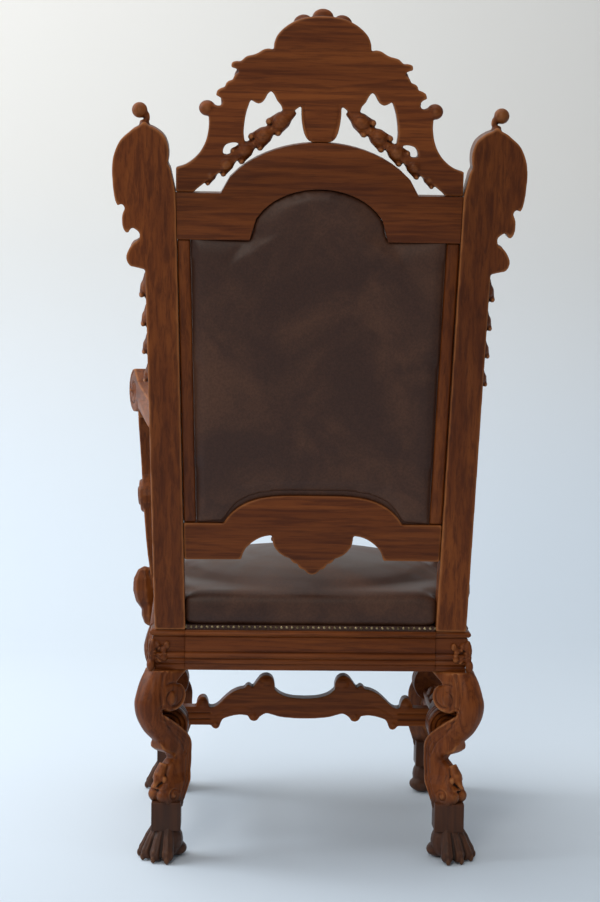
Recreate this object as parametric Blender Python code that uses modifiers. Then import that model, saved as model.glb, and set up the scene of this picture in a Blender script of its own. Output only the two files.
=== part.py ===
"""Carved walnut throne armchair with a leather seat and back.

Metres, Z up. The sitter looks along -Y and the sitter's left is +X. The seat frame, legs
and stretchers stand upright. The back leans, and is modelled flat and then tilted about
the top of the seat frame. The origin ends at the middle of the footprint, on the floor.
"""
import math

import bmesh
import bpy
from mathutils import Matrix, Vector

for old in list(bpy.data.objects):
    bpy.data.objects.remove(old, do_unlink=True)

# clearance between pieces that touch
GAP = 0.0003

# seat frame
LEG_HEIGHT = 0.370
RAIL_HEIGHT = 0.077
REAR_HALF_WIDTH = 0.304
FRONT_HALF_WIDTH = 0.314
FRAME_DEPTH = 0.560
BLOCK_SIZE = 0.067
RAIL_THICKNESS = 0.042
RAIL_SETBACK = 0.003
MOULDING_STEP = 0.0035
TOP_MOULDING = 0.012

# legs
LEG_HALF_THICKNESS = 0.032
SHIN_HALF_THICKNESS = 0.0185
FOOT_HALF_THICKNESS = 0.026
ANKLE_SIZE = 0.056
ANKLE_TOP = 0.113
ANKLE_BOTTOM = 0.062
ROLL_RADIUS = 0.040
ROLL_HEIGHT = 0.251
ROLL_START = 0.062
ROLL_END = 0.106

# stretchers
BAR_BOTTOM = 0.203
BAR_HEIGHT = 0.037
BAR_WIDTH = 0.040
CROSS_THICKNESS = 0.030

# back, measured along its own lean from the top of the seat frame
LEAN = math.radians(8.0)
BACK_DEPTH = 0.045
POST_WIDTH = 0.058
POST_SPREAD = 0.0215
LOWER_RAIL_BOTTOM = 0.1363
LOWER_RAIL_HEIGHT = 0.0711
LOWER_ARCH_RISE = 0.0542
LOWER_ARCH_HALF = 0.167
LOWER_RAIL_DEPTH = 0.034
TOP_RAIL_BOTTOM = 0.7356
TOP_RAIL_HEIGHT = 0.0833
TOP_RAIL_DEPTH = 0.038
INNER_ARCH_HALF = 0.125
INNER_ARCH_RISE = 0.093
OUTER_ARCH_HALF = 0.1776
OUTER_ARCH_RISE = 0.0918
STRIP_WIDTH = 0.0235
STRIP_DEPTH = 0.026
PAD_DEPTH = 0.046
CREST_HEIGHT = 0.3271
CREST_DEPTH = 0.024
EAR_HEIGHT = 0.2615
FINIAL_RADIUS = 0.0145

# arms
ARM_TOP = 0.874
ARM_THICKNESS = 0.042
ARM_WIDTH = 0.052
ARM_FLARE = 0.062
ARM_VOLUTE_RADIUS = 0.0465
ARM_VOLUTE_RISE = 0.005
ARM_OVERHANG = 0.054
ARM_PAD_DROP = 0.012
SUPPORT_THICKNESS = 0.047
SUPPORT_OUTSET = 0.014
BOSS_RADIUS = 0.0365
BOSS_HEIGHT = 0.643

# leather
SEAT_THICKNESS = 0.066
SEAT_CLEARANCE = 0.0015
SEAT_CROWN = 0.052

SEAT_TOP = LEG_HEIGHT + RAIL_HEIGHT
SHOULDER = TOP_RAIL_BOTTOM + TOP_RAIL_HEIGHT
POST_FOOT_X = REAR_HALF_WIDTH - RAIL_SETBACK - POST_WIDTH / 2 - 0.0065
BACK_MIDDLE = -BACK_DEPTH / 2
BLOCK_X = REAR_HALF_WIDTH - BLOCK_SIZE / 2
FRONT_BLOCK_X = FRONT_HALF_WIDTH - BLOCK_SIZE / 2

scene = bpy.context.scene
throne = bpy.data.collections.new("throne_armchair")
cutters = bpy.data.collections.new("cutters")
scene.collection.children.link(throne)
scene.collection.children.link(cutters)

root = bpy.data.objects.new("throne", None)
throne.objects.link(root)
back_frame = bpy.data.objects.new("back_frame", None)
throne.objects.link(back_frame)
back_frame.parent = root
back_frame.location = (0, 0, SEAT_TOP)
back_frame.rotation_euler = (-LEAN, 0, 0)
BACK_MATRIX = Matrix.Translation((0, 0, SEAT_TOP)) @ Matrix.Rotation(-LEAN, 4, "X")


def material(name, colour, roughness, metallic=0.0):
    mat = bpy.data.materials.new(name)
    mat.use_nodes = True
    shader = mat.node_tree.nodes["Principled BSDF"]
    shader.inputs["Base Color"].default_value = (*colour, 1)
    shader.inputs["Roughness"].default_value = roughness
    shader.inputs["Metallic"].default_value = metallic
    mat.diffuse_color = (*colour, 1)
    return mat


def link(obj, collection=throne):
    collection.objects.link(obj)
    return obj


def mesh_object(name, bm, collection=cutters):
    """Close off a bmesh as an object with its faces pointing outward."""
    bmesh.ops.remove_doubles(bm, verts=bm.verts, dist=0.00001)
    bmesh.ops.recalc_face_normals(bm, faces=bm.faces)
    mesh = bpy.data.meshes.new(name)
    bm.to_mesh(mesh)
    bm.free()
    obj = link(bpy.data.objects.new(name, mesh), collection)
    obj.display_type = "WIRE"
    obj.hide_render = True
    return obj


def evaluated_mesh(obj):
    graph = bpy.context.evaluated_depsgraph_get()
    return bpy.data.meshes.new_from_object(obj.evaluated_get(graph))


def outline(name, loops, depth):
    """A flat shape in X and Z, with any holes as further loops, centred on Y = 0."""
    curve = bpy.data.curves.new(name, "CURVE")
    curve.dimensions = "2D"
    curve.fill_mode = "BOTH"
    curve.extrude = depth / 2
    for loop in loops:
        spline = curve.splines.new("POLY")
        spline.points.add(len(loop) - 1)
        for point, (x, z) in zip(spline.points, loop):
            point.co = (x, z, 0, 1)
        spline.use_cyclic_u = True
    flat = link(bpy.data.objects.new(name, curve), cutters)
    bm = bmesh.new()
    bm.from_mesh(evaluated_mesh(flat))
    bpy.data.objects.remove(flat, do_unlink=True)
    bmesh.ops.rotate(bm, verts=bm.verts, cent=(0, 0, 0), matrix=Matrix.Rotation(math.pi / 2, 3, "X"))
    return mesh_object(name, bm)


def ball(centre, radii, turn=0.0, axis="Y", segments=10, rings=6):
    """An ellipsoid, turned about one axis through its own centre."""
    bm = bmesh.new()
    bmesh.ops.create_uvsphere(bm, u_segments=segments, v_segments=rings, radius=1)
    place = Matrix.Translation(centre) @ Matrix.Rotation(turn, 4, axis) @ Matrix.Diagonal((*radii, 1))
    bmesh.ops.transform(bm, matrix=place, verts=bm.verts)
    return mesh_object("ball", bm)


def taper(start, end, r_start, r_end, flat=1.0, segments=8):
    """A round taper from start to end, flattened along Y by the factor flat."""
    bm = bmesh.new()
    along = Vector(end) - Vector(start)
    bmesh.ops.create_cone(bm, cap_ends=True, segments=segments, radius1=r_start, radius2=r_end,
                          depth=along.length)
    turn = Vector((0, 0, 1)).rotation_difference(along).to_matrix().to_4x4()
    place = Matrix.Translation((Vector(start) + Vector(end)) / 2)
    place = place @ Matrix.Diagonal((1, flat, 1, 1)) @ turn
    bmesh.ops.transform(bm, matrix=place, verts=bm.verts)
    return mesh_object("taper", bm)


def box(low, high):
    bm = bmesh.new()
    bmesh.ops.create_cube(bm, size=1)
    low, high = Vector(low), Vector(high)
    place = Matrix.Translation((low + high) / 2) @ Matrix.Diagonal((*(high - low), 1))
    bmesh.ops.transform(bm, matrix=place, verts=bm.verts)
    return mesh_object("box", bm)


def turned(name, profile, steps):
    """A solid of revolution about Z from (radius, height) pairs, listed from top to bottom."""
    bm = bmesh.new()
    verts = [bm.verts.new((r, 0, z)) for r, z in profile]
    for a, b in zip(verts, verts[1:]):
        bm.edges.new((a, b))
    obj = link(bpy.data.objects.new(name, bpy.data.meshes.new(name)), cutters)
    bm.to_mesh(obj.data)
    bm.free()
    screw = obj.modifiers.new("Screw", "SCREW")
    screw.steps = steps
    screw.render_steps = steps
    screw.use_merge_vertices = True
    screw.merge_threshold = 0.00005
    bm = bmesh.new()
    bm.from_mesh(evaluated_mesh(obj))
    bpy.data.objects.remove(obj, do_unlink=True)
    return mesh_object(name, bm)


def boss(x, z, half_x, half_z, face, proud, turn=0.0):
    """A low carved dome on a board's front, whose surface lies at Y = face."""
    bm = bmesh.new()
    rings = []
    for y, share in ((face + 0.004, 1.0), (face - proud * 0.55, 0.86), (face - proud, 0.45)):
        ring = []
        for i in range(8):
            a = math.radians(45 * i + 22.5)
            ring.append(bm.verts.new((half_x * share * math.cos(a), y, half_z * share * math.sin(a))))
        rings.append(ring)
    for lower, upper in zip(rings, rings[1:]):
        for i in range(8):
            j = (i + 1) % 8
            bm.faces.new((lower[i], lower[j], upper[j], upper[i]))
    bm.faces.new(rings[0])
    bm.faces.new(rings[-1])
    place = Matrix.Translation((x, 0, z)) @ Matrix.Rotation(turn, 4, "Y")
    bmesh.ops.transform(bm, matrix=place, verts=bm.verts)
    return mesh_object("boss", bm)


def through(x, z, half_x, half_z, reach, turn=0.0):
    """A flat-ended dome that stands proud of both sides of a board by the same amount."""
    front = boss(x, z, half_x, half_z, -reach + 0.005, 0.005, turn)
    bm = bmesh.new()
    bm.from_mesh(front.data)
    flat = [v for v in bm.verts if v.co.y > -reach + 0.007]
    for v in flat:
        v.co.y = 0
    bmesh.ops.delete(bm, geom=[f for f in bm.faces if all(v.co.y == 0 for v in f.verts)], context="FACES")
    other = bmesh.ops.duplicate(bm, geom=bm.verts[:] + bm.edges[:] + bm.faces[:])
    bmesh.ops.scale(bm, vec=(1, -1, 1), verts=[e for e in other["geom"] if isinstance(e, bmesh.types.BMVert)])
    bpy.data.objects.remove(front, do_unlink=True)
    return mesh_object("through", bm)


def husk(x, z, length, radius, depth, angle, size=1.0):
    """A bell husk in the plane of the board, opening toward its angle in degrees."""
    half = length * size / 2
    r = radius * size
    bell = turned("husk", [(0, half), (r * 0.55, half * 0.9), (r, half * 0.45), (r * 0.82, -half * 0.2),
                           (r * 0.40, -half), (0, -half)], 6)
    place = Matrix.Translation((x, 0, z)) @ Matrix.Rotation(math.radians(90 - angle), 4, "Y")
    place = place @ Matrix.Diagonal((1, depth / radius, 1, 1))
    bell.data.transform(place)
    return bell


def bake(obj):
    mesh = evaluated_mesh(obj)
    obj.modifiers.clear()
    obj.data = mesh
    return obj


def reshape(obj, move):
    """Move each vertex by a rule, with the faces split first so that they stay flat."""
    bm = bmesh.new()
    bm.from_mesh(obj.data)
    bmesh.ops.triangulate(bm, faces=bm.faces)
    for vert in bm.verts:
        vert.co = move(vert.co)
    bm.to_mesh(obj.data)
    bm.free()
    return obj


def bevel(obj, width, segments=2, angle=35.0):
    mod = obj.modifiers.new("Bevel", "BEVEL")
    mod.width = width
    mod.segments = segments
    mod.limit_method = "ANGLE"
    mod.angle_limit = math.radians(angle)
    return bake(obj)


def boolean(obj, other, operation):
    mod = obj.modifiers.new("Boolean", "BOOLEAN")
    mod.operation = operation
    mod.solver = "EXACT"
    mod.object = other
    bake(obj)
    bpy.data.objects.remove(other, do_unlink=True)
    return obj


def union(obj, *parts):
    for part in parts:
        boolean(obj, part, "UNION")
    return obj


def cut(obj, *parts):
    for part in parts:
        boolean(obj, part, "DIFFERENCE")
    return obj


def mirrored(obj, factors, name="mirrored"):
    """A copy of a piece, mirrored about the planes whose factor is -1."""
    bm = bmesh.new()
    bm.from_mesh(obj.data)
    bmesh.ops.transform(bm, matrix=Matrix.Diagonal((*factors, 1)), verts=bm.verts)
    return mesh_object(name, bm)


def finish(obj, name, mat, parent=root, location=(0, 0, 0)):
    """Turn a worked shape into a piece of the throne."""
    bm = bmesh.new()
    bm.from_mesh(obj.data)
    bmesh.ops.remove_doubles(bm, verts=bm.verts, dist=0.00012)
    bmesh.ops.dissolve_limit(bm, verts=bm.verts, edges=bm.edges, angle_limit=math.radians(0.8))
    bmesh.ops.recalc_face_normals(bm, faces=bm.faces)
    bm.to_mesh(obj.data)
    bm.free()
    obj.name = name
    obj.data.name = name
    for collection in list(obj.users_collection):
        collection.objects.unlink(obj)
    throne.objects.link(obj)
    obj.display_type = "TEXTURED"
    obj.hide_render = False
    obj.data.materials.clear()
    obj.data.materials.append(mat)
    obj.data.shade_smooth()
    obj.data.set_sharp_from_angle(angle=math.radians(35))
    obj.parent = parent
    obj.location = location
    return obj


def mirror_x(points):
    """Complete a half outline that starts and ends near X = 0 and runs over positive X."""
    return points + [(-x, z) for x, z in reversed(points) if x > 0.00001]


def arc(x, z, radius, start, end, count):
    """Points on a circle from one angle to another, in degrees."""
    steps = [math.radians(start + (end - start) * i / (count - 1)) for i in range(count)]
    return [(x + radius * math.cos(a), z + radius * math.sin(a)) for a in steps]


def outer_arch(x):
    share = max(0.0, 1 - (x / OUTER_ARCH_HALF) ** 2)
    return SHOULDER + OUTER_ARCH_RISE * share ** 0.66


def inner_arch(x):
    share = max(0.0, 1 - (x / INNER_ARCH_HALF) ** 2)
    return TOP_RAIL_BOTTOM + INNER_ARCH_RISE * math.sqrt(share)


def lower_arch(x):
    share = max(0.0, 1 - (abs(x) / LOWER_ARCH_HALF) ** 4)
    return LOWER_RAIL_BOTTOM + LOWER_RAIL_HEIGHT + LOWER_ARCH_RISE * share ** 0.85


def post_middle(u):
    """X of the middle of a back post at the height u along the back."""
    return POST_FOOT_X + POST_SPREAD * min(u, SHOULDER) / SHOULDER


def post_inner(u):
    return post_middle(u) - POST_WIDTH / 2


walnut = material("walnut", (0.16, 0.062, 0.026), 0.38)
dark_walnut = material("dark_walnut", (0.10, 0.038, 0.018), 0.42)
brown_leather = material("brown_leather", (0.045, 0.026, 0.018), 0.45)


# Seat frame
def rail_profile(height=RAIL_HEIGHT):
    """Steps of the seat rail's moulding, as outward offset and height above its bottom."""
    lower = height - TOP_MOULDING
    step = MOULDING_STEP
    return [(-step, 0), (-step, lower * 0.16), (0, lower * 0.19), (0, lower * 0.33), (step, lower * 0.37),
            (step, lower * 0.52), (0, lower * 0.56), (0, lower), (step, lower + TOP_MOULDING * 0.2),
            (step * 1.6, lower + TOP_MOULDING * 0.55), (step * 1.2, height)]


def cross_rail(name, length, y, facing):
    """The front or rear rail, whose moulded side looks along facing * Y."""
    side = [(facing * offset, z) for offset, z in rail_profile()]
    inner = -facing * RAIL_THICKNESS
    obj = outline(name, [side + [(inner, RAIL_HEIGHT), (inner, 0)]], length)
    obj.data.transform(Matrix.Rotation(math.pi / 2, 4, "Z"))
    return finish(obj, name, walnut, root, (0, y - facing * RAIL_SETBACK, LEG_HEIGHT))


cross_rail("rear_rail", 2 * (REAR_HALF_WIDTH - BLOCK_SIZE - GAP), 0.0, 1)
cross_rail("front_rail", 2 * (FRONT_HALF_WIDTH - BLOCK_SIZE - GAP), -FRAME_DEPTH, -1)

side_length = FRAME_DEPTH - 2 * (BLOCK_SIZE + GAP)
splay = (FRONT_HALF_WIDTH - REAR_HALF_WIDTH) / (FRAME_DEPTH - 2 * BLOCK_SIZE)
side_rail = outline("side_rail", [rail_profile() + [(-RAIL_THICKNESS, RAIL_HEIGHT), (-RAIL_THICKNESS, 0)]],
                    side_length)
reshape(side_rail, lambda p: (p.x - (p.y - side_length / 2) * splay, p.y, p.z))
rail_place = (REAR_HALF_WIDTH - RAIL_SETBACK, -FRAME_DEPTH / 2, LEG_HEIGHT)
right_rail = mirrored(side_rail, (-1, 1, 1))
finish(side_rail, "side_rail_left", walnut, root, rail_place)
finish(right_rail, "side_rail_right", walnut, root, (-rail_place[0], rail_place[1], rail_place[2]))


# Legs, built for the corner that faces +X and +Y about the middle of its block
def corner_block():
    """The block over a leg, moulded on its two outer sides."""
    bm = bmesh.new()
    half = BLOCK_SIZE / 2
    rings = []
    for offset, z in rail_profile():
        reach = half + offset - MOULDING_STEP * 1.6
        corners = [(-half, -half), (reach, -half), (reach, reach), (-half, reach)]
        rings.append([bm.verts.new((x, y, LEG_HEIGHT + z)) for x, y in corners])
    for lower, upper in zip(rings, rings[1:]):
        for i in range(4):
            j = (i + 1) % 4
            bm.faces.new((lower[i], lower[j], upper[j], upper[i]))
    bm.faces.new(reversed(rings[0]))
    bm.faces.new(rings[-1])
    return mesh_object("corner_block", bm)


# the scroll's heights are shares of the leg's own height above the ankle, 0.257 as drawn
LEG_SCALE = (LEG_HEIGHT - ANKLE_TOP) / 0.257


def leg_outline():
    """Side view of the scroll leg: outward along the seat corner's diagonal, and height."""
    shin = ANKLE_TOP
    top = shin + 0.257
    knee = [(0.0455, top), (0.058, top - 0.020), (0.068, top - 0.045),
            (0.0724, top - 0.064), (0.0675, top - 0.090), (0.052, top - 0.118), (0.031, top - 0.138),
            (0.0255, top - 0.154), (0.012, top - 0.163), (-0.004, top - 0.167), (-0.009, top - 0.177)]
    leaf = [(0.003, shin + 0.070), (0.013, shin + 0.053), (0.018, shin + 0.038), (0.029, shin + 0.024)]
    foot = arc(0.005, shin + 0.0114, 0.021, 38, -70, 5) + [(0.004, shin - 0.012), (-0.022, shin - 0.012)]
    inner = [(-0.028, shin + 0.004), (-0.0365, shin + 0.022), (-0.048, shin + 0.050),
             (-0.0505, shin + 0.088), (-0.043, top - 0.140), (-0.012, top - 0.112), (0.036, top - 0.0815)]
    volute = [(0.0130 + x * 1.22, z) for x, z in arc(0, top - 0.0515, 0.0285, -50, -250, 8)]
    shoulder = [(-0.022, top - 0.006), (-0.026, top)]
    drawn = knee + leaf + foot + inner + volute + shoulder
    fitted = [(x, min(shin + (z - shin) * LEG_SCALE, LEG_HEIGHT - GAP)) for x, z in drawn]
    neck_low = LEG_HEIGHT - GAP
    neck_high = LEG_HEIGHT + 0.012
    neck = [(-0.006, neck_low), (-0.006, neck_high), (0.006, neck_high), (0.006, neck_low)]
    return fitted + neck


def leg_half(z):
    """Half the leg's thickness across its diagonal at a height: slimmest along the shin."""
    knee = min(1.0, max(0.0, ((z - LEG_HEIGHT) / LEG_SCALE + 0.170) / 0.080))
    foot = min(1.0, max(0.0, (ANKLE_TOP + 0.052 - z) / 0.018))
    shin = SHIN_HALF_THICKNESS
    return shin + (LEG_HALF_THICKNESS - shin) * knee + (FOOT_HALF_THICKNESS - shin) * foot


def paw():
    parts = []
    for angle in (-39, -13, 13, 39):
        turn = math.radians(angle)
        along = Vector((math.cos(turn), math.sin(turn), 0))
        base = Vector((-0.007, 0, 0))
        toe = base + along * 0.036 + Vector((0, 0, 0.020))
        parts.append(ball(toe, (0.025, 0.0115, 0.0215), turn, "Z", 6, 5))
        claw = base + along * 0.060 + Vector((0, 0, 0.001))
        parts.append(taper(base + along * 0.046 + Vector((0, 0, 0.017)), claw, 0.0075, 0.0018, 1.0, 4))
    body = ball((0.002, 0, 0.036), (0.036, 0.031, 0.034), 0, "Z", 8, 5)
    union(body, *parts)
    return cut(body, box((-0.1, -0.1, -0.05), (0.1, 0.1, 0)))


def scroll_leg():
    leg = outline("leg", [leg_outline()], 1.0)
    reshape(leg, lambda p: (p.x, math.copysign(leg_half(p.z), p.y), p.z))
    bevel(leg, 0.0075, 1, 50)
    upper_eye = through(0.0163, LEG_HEIGHT - 0.0515 * LEG_SCALE, 0.012, 0.013, LEG_HALF_THICKNESS + 0.0045)
    lower_eye = through(0.005, ANKLE_TOP + 0.0114, 0.010, 0.010, FOOT_HALF_THICKNESS + 0.0045)
    corner_leaf = ball((BLOCK_SIZE * 0.655, 0, LEG_HEIGHT + RAIL_HEIGHT * 0.4675), (0.011, 0.020, 0.026), 0, "Y", 8, 4)
    leaf_tip = ball((BLOCK_SIZE * 0.70 + 0.003, 0, LEG_HEIGHT + 0.006), (0.009, 0.014, 0.018), 0, "Y", 8, 4)
    union(leg, upper_eye, lower_eye, corner_leaf, leaf_tip, paw())
    leg.data.transform(Matrix.Rotation(math.pi / 4, 4, "Z"))
    ankle = bevel(box((-ANKLE_SIZE / 2, -ANKLE_SIZE / 2, ANKLE_BOTTOM),
                      (ANKLE_SIZE / 2, ANKLE_SIZE / 2, ANKLE_TOP)), 0.003, 1)
    r = ROLL_RADIUS
    roll_length = ROLL_END - ROLL_START
    rings = [(0, roll_length), (r * 0.34, roll_length), (r * 0.45, roll_length - 0.004),
             (r * 0.58, roll_length), (r * 0.76, roll_length - 0.002), (r, roll_length - 0.008),
             (r, 0), (0, 0)]
    roll = turned("roll", rings, 10)
    roll.data.transform(Matrix.Translation((0, BLOCK_SIZE / 2 - ROLL_END, ROLL_HEIGHT))
                        @ Matrix.Rotation(-math.pi / 2, 4, "X"))
    return union(leg, corner_block(), ankle, roll)


leg = scroll_leg()
for side, x_sign in (("left", 1), ("right", -1)):
    for end, y_sign, x, y in (("rear", 1, BLOCK_X, -BLOCK_SIZE / 2),
                              ("front", -1, FRONT_BLOCK_X, BLOCK_SIZE / 2 - FRAME_DEPTH)):
        copy = mirrored(leg, (x_sign, y_sign, 1))
        finish(copy, f"{end}_leg_{side}", walnut, root, (x * x_sign, y, 0))
bpy.data.objects.remove(leg, do_unlink=True)


# Stretchers
bar_start = -ROLL_END - GAP
bar_end = ROLL_END + GAP - FRAME_DEPTH
bar_length = bar_start - bar_end
bar_middle = (bar_start + bar_end) / 2
bar_splay = (FRONT_BLOCK_X - BLOCK_X) / bar_length


def stretcher_side():
    """A moulded bar along Y with carved husks on its top and a leaf at its middle."""
    w = BAR_WIDTH / 2
    h = BAR_HEIGHT
    half = [(w * 0.8, 0), (w, h * 0.14), (w, h * 0.30), (w * 0.86, h * 0.38), (w * 0.86, h * 0.62),
            (w, h * 0.70), (w, h * 0.86), (w * 0.8, h)]
    bar = outline("bar", [half + [(-x, z) for x, z in reversed(half)]], bar_length)
    parts = []
    for sign in (-1, 1):
        for share, size in ((0.36, 1.0), (0.22, 0.8)):
            y = sign * bar_length * share
            parts.append(ball((0, y, h), (0.017 * size, 0.026 * size, 0.017 * size), 0, "Y", 8, 4))
    parts.append(ball((0, 0, h * 0.9), (0.018, 0.045, 0.026), 0, "Y", 8, 5))
    union(bar, *parts)
    return reshape(bar, lambda p: (p.x - (p.y - bar_length / 2) * bar_splay, p.y, p.z))


left_bar = stretcher_side()
right_bar = mirrored(left_bar, (-1, 1, 1))
finish(left_bar, "side_stretcher_left", dark_walnut, root, (BLOCK_X, bar_middle, BAR_BOTTOM))
finish(right_bar, "side_stretcher_right", dark_walnut, root, (-BLOCK_X, bar_middle, BAR_BOTTOM))

cross_half = BLOCK_X + bar_length / 2 * bar_splay - BAR_WIDTH / 2 - GAP * 2


def cross_stretcher():
    """The carved cross stretcher: scrolled leaves that rise in two lobes beside the middle."""
    h = BAR_HEIGHT
    top = [(0.0, h * 1.50), (0.028, h * 1.55), (0.0495, h * 1.72), (0.0646, h * 2.05),
           (0.0636, h * 2.53), (0.0776, h * 2.77), (0.0917, h * 2.63), (0.1065, h * 2.08),
           (0.1146, h * 2.24), (0.1216, h * 2.05), (0.1339, h * 2.0), (0.1586, h * 1.62),
           (0.1825, h * 1.0), (0.1955, h * 0.98), (0.1970, h * 1.34), (0.2078, h * 1.55),
           (0.2184, h * 1.34), (0.2219, h), (cross_half, h)]
    under = [(cross_half, 0), (0.1902, 0), (0.1825, -h * 0.19), (0.1727, -h * 0.14),
             (0.1709, h * 0.14), (0.1551, h * 0.43), (0.1269, h * 0.57), (0.1128, h * 0.52),
             (0.1076, h * 0.26), (0.097, h * 0.26), (0.0776, h * 0.67), (0.0495, h * 0.48),
             (0.0, h * 0.38)]
    half = top + under
    obj = outline("cross", [half + [(-x, z) for x, z in reversed(half) if x > 0]], CROSS_THICKNESS)
    y = CROSS_THICKNESS / 2 + 0.005
    parts = []
    for sign in (-1, 1):
        parts.append(through(sign * 0.079, h * 2.30, 0.0150, 0.0150, y))
        parts.append(through(sign * 0.130, h * 1.22, 0.034, 0.011, y, sign * 0.45))
        parts.append(through(sign * 0.207, h * 1.05, 0.0105, 0.0150, y))
    return union(obj, *parts)


finish(cross_stretcher(), "cross_stretcher", dark_walnut, root, (0, bar_middle, BAR_BOTTOM))


# Back, in the plane of its lean: X across, Z up along the back, Y its thickness
def post_shape():
    """The left post with its scrolled ear, leaf, finial and husks."""
    k = EAR_HEIGHT / 0.2615
    ear = [(-0.0194, 0.0469), (-0.0184, 0.0637), (-0.0163, 0.0834), (-0.0077, 0.1003),
           (0.0065, 0.1129), (0.0292, 0.1228), (0.0575, 0.1059), (0.0746, 0.0918), (0.0865, 0.0665),
           (0.0897, 0.0440), (0.0889, 0.0186), (0.0861, -0.0040), (0.0810, -0.0245),
           (0.0741, -0.0204), (0.0645, -0.0274), (0.0700, -0.0521), (0.0645, -0.0714),
           (0.0494, -0.0645), (0.0383, -0.0714), (0.0397, -0.0852), (0.0549, -0.0994),
           (0.0632, -0.1134), (0.0604, -0.1274), (0.0493, -0.1345)]
    middle = post_middle(SHOULDER)
    inner = [(post_inner(0), GAP), (post_inner(SHOULDER), SHOULDER),
             (post_inner(SHOULDER), SHOULDER + 0.044 * k)]
    carved = [(middle + (x * 0.945 - 0.001) * k, SHOULDER + z * k) for x, z in ear]
    join = SHOULDER - 0.1387 * k
    outer = [(post_middle(join) + POST_WIDTH / 2, join), (post_middle(0) + POST_WIDTH / 2, GAP)]
    post = outline("post", [inner + carved + outer], BACK_DEPTH)
    top = (middle + 0.0265 * k, SHOULDER + 0.1228 * k)
    tip = (middle + 0.0385 * k, SHOULDER + 0.1438 * k)
    half = BACK_DEPTH / 2
    parts = [taper((top[0] - 0.006, 0, top[1] - 0.020), (tip[0], 0, tip[1]), 0.0125, 0.0085, 1.0, 8),
             ball((tip[0] - 0.007, 0, tip[1] - 0.0105), (0.0145, 0.0145, 0.0045), 0.5, "Y", 8, 4),
             ball((tip[0], 0, tip[1]), (FINIAL_RADIUS,) * 3, 0, "Y", 8, 6),
             boss(middle + 0.037 * k, SHOULDER + 0.050 * k, 0.042 * k, 0.058 * k, -half, 0.010, 0.15),
             boss(middle + 0.040 * k, SHOULDER + 0.046 * k, 0.016 * k, 0.020 * k, -half - 0.008, 0.010),
             boss(middle + 0.050 * k, SHOULDER - 0.040 * k, 0.013 * k, 0.030 * k, -half, 0.008, 0.2),
             boss(middle + 0.043 * k, SHOULDER - 0.110 * k, 0.014 * k, 0.018 * k, -half, 0.007)]
    for drop, size in ((0.1700, 1.0), (0.2252, 0.88), (0.2777, 0.8), (0.3312, 0.8)):
        z = SHOULDER - drop * k
        x = post_middle(z) + POST_WIDTH / 2 - 0.004
        parts.append(husk(x, z, 0.056, 0.0125, 0.017, -90, size))
    return union(post, *parts)


left_post = post_shape()
right_post = mirrored(left_post, (-1, 1, 1))
finish(left_post, "back_post_left", walnut, back_frame, (0, BACK_MIDDLE, 0))
finish(right_post, "back_post_right", walnut, back_frame, (0, BACK_MIDDLE, 0))


def spaced(low, high, count):
    return [low + (high - low) * i / (count - 1) for i in range(count)]


def side_edge(bottom, top):
    """A rail's right end between two heights, just clear of the post."""
    return [(post_inner(bottom) - GAP * 2, bottom), (post_inner(top) - GAP * 2, top)]


def lower_rail():
    """Raised arch above, two arcs below and a pointed leaf between them."""
    low = LOWER_RAIL_BOTTOM
    under = [(0.0, -0.0275), (0.0100, -0.0228), (0.0185, -0.0165), (0.0257, -0.0071),
             (0.0345, -0.0030), (0.0420, 0.0046), (0.0560, 0.0100), (0.0680, 0.0200), (0.0745, 0.0330),
             (0.0757, 0.0480), (0.0865, 0.0464), (0.1070, 0.0378), (0.1255, 0.0220), (0.1345, 0.0010)]
    half = [(x, low + z) for x, z in under]
    half += side_edge(low, low + LOWER_RAIL_HEIGHT)
    half += [(x, lower_arch(x)) for x in spaced(LOWER_ARCH_HALF, 0, 12)]
    obj = outline("lower_rail", [mirror_x(half)], LOWER_RAIL_DEPTH)
    bevel(obj, 0.003, 1, 60)
    face = -LOWER_RAIL_DEPTH / 2
    middle = boss(0, low + 0.018, 0.017, 0.034, face, 0.008)
    leaves = [boss(sign * 0.036, low + 0.030, 0.013, 0.024, face, 0.006, -sign * 0.7)
              for sign in (-1, 1)]
    return union(obj, middle, *leaves)


def top_rail():
    half = [(x, inner_arch(x)) for x in spaced(0, INNER_ARCH_HALF, 12)]
    half += side_edge(TOP_RAIL_BOTTOM, SHOULDER)
    half += [(x, outer_arch(x)) for x in spaced(OUTER_ARCH_HALF, 0, 12)]
    obj = outline("top_rail", [mirror_x(half)], TOP_RAIL_DEPTH)
    return bevel(obj, 0.004, 1, 60)


finish(lower_rail(), "lower_rail", walnut, back_frame, (0, BACK_MIDDLE, 0))
finish(top_rail(), "top_rail", walnut, back_frame, (0, BACK_MIDDLE, 0))

strip_low = LOWER_RAIL_BOTTOM + LOWER_RAIL_HEIGHT + GAP
strip_high = TOP_RAIL_BOTTOM - GAP
edge = side_edge(strip_low, strip_high)
left_strip = outline("strip", [edge + [(x - STRIP_WIDTH, z) for x, z in reversed(edge)]], STRIP_DEPTH)
bevel(left_strip, 0.0025, 1, 60)
right_strip = mirrored(left_strip, (-1, 1, 1))
finish(left_strip, "back_strip_left", walnut, back_frame, (0, BACK_MIDDLE, 0))
finish(right_strip, "back_strip_right", walnut, back_frame, (0, BACK_MIDDLE, 0))


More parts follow.
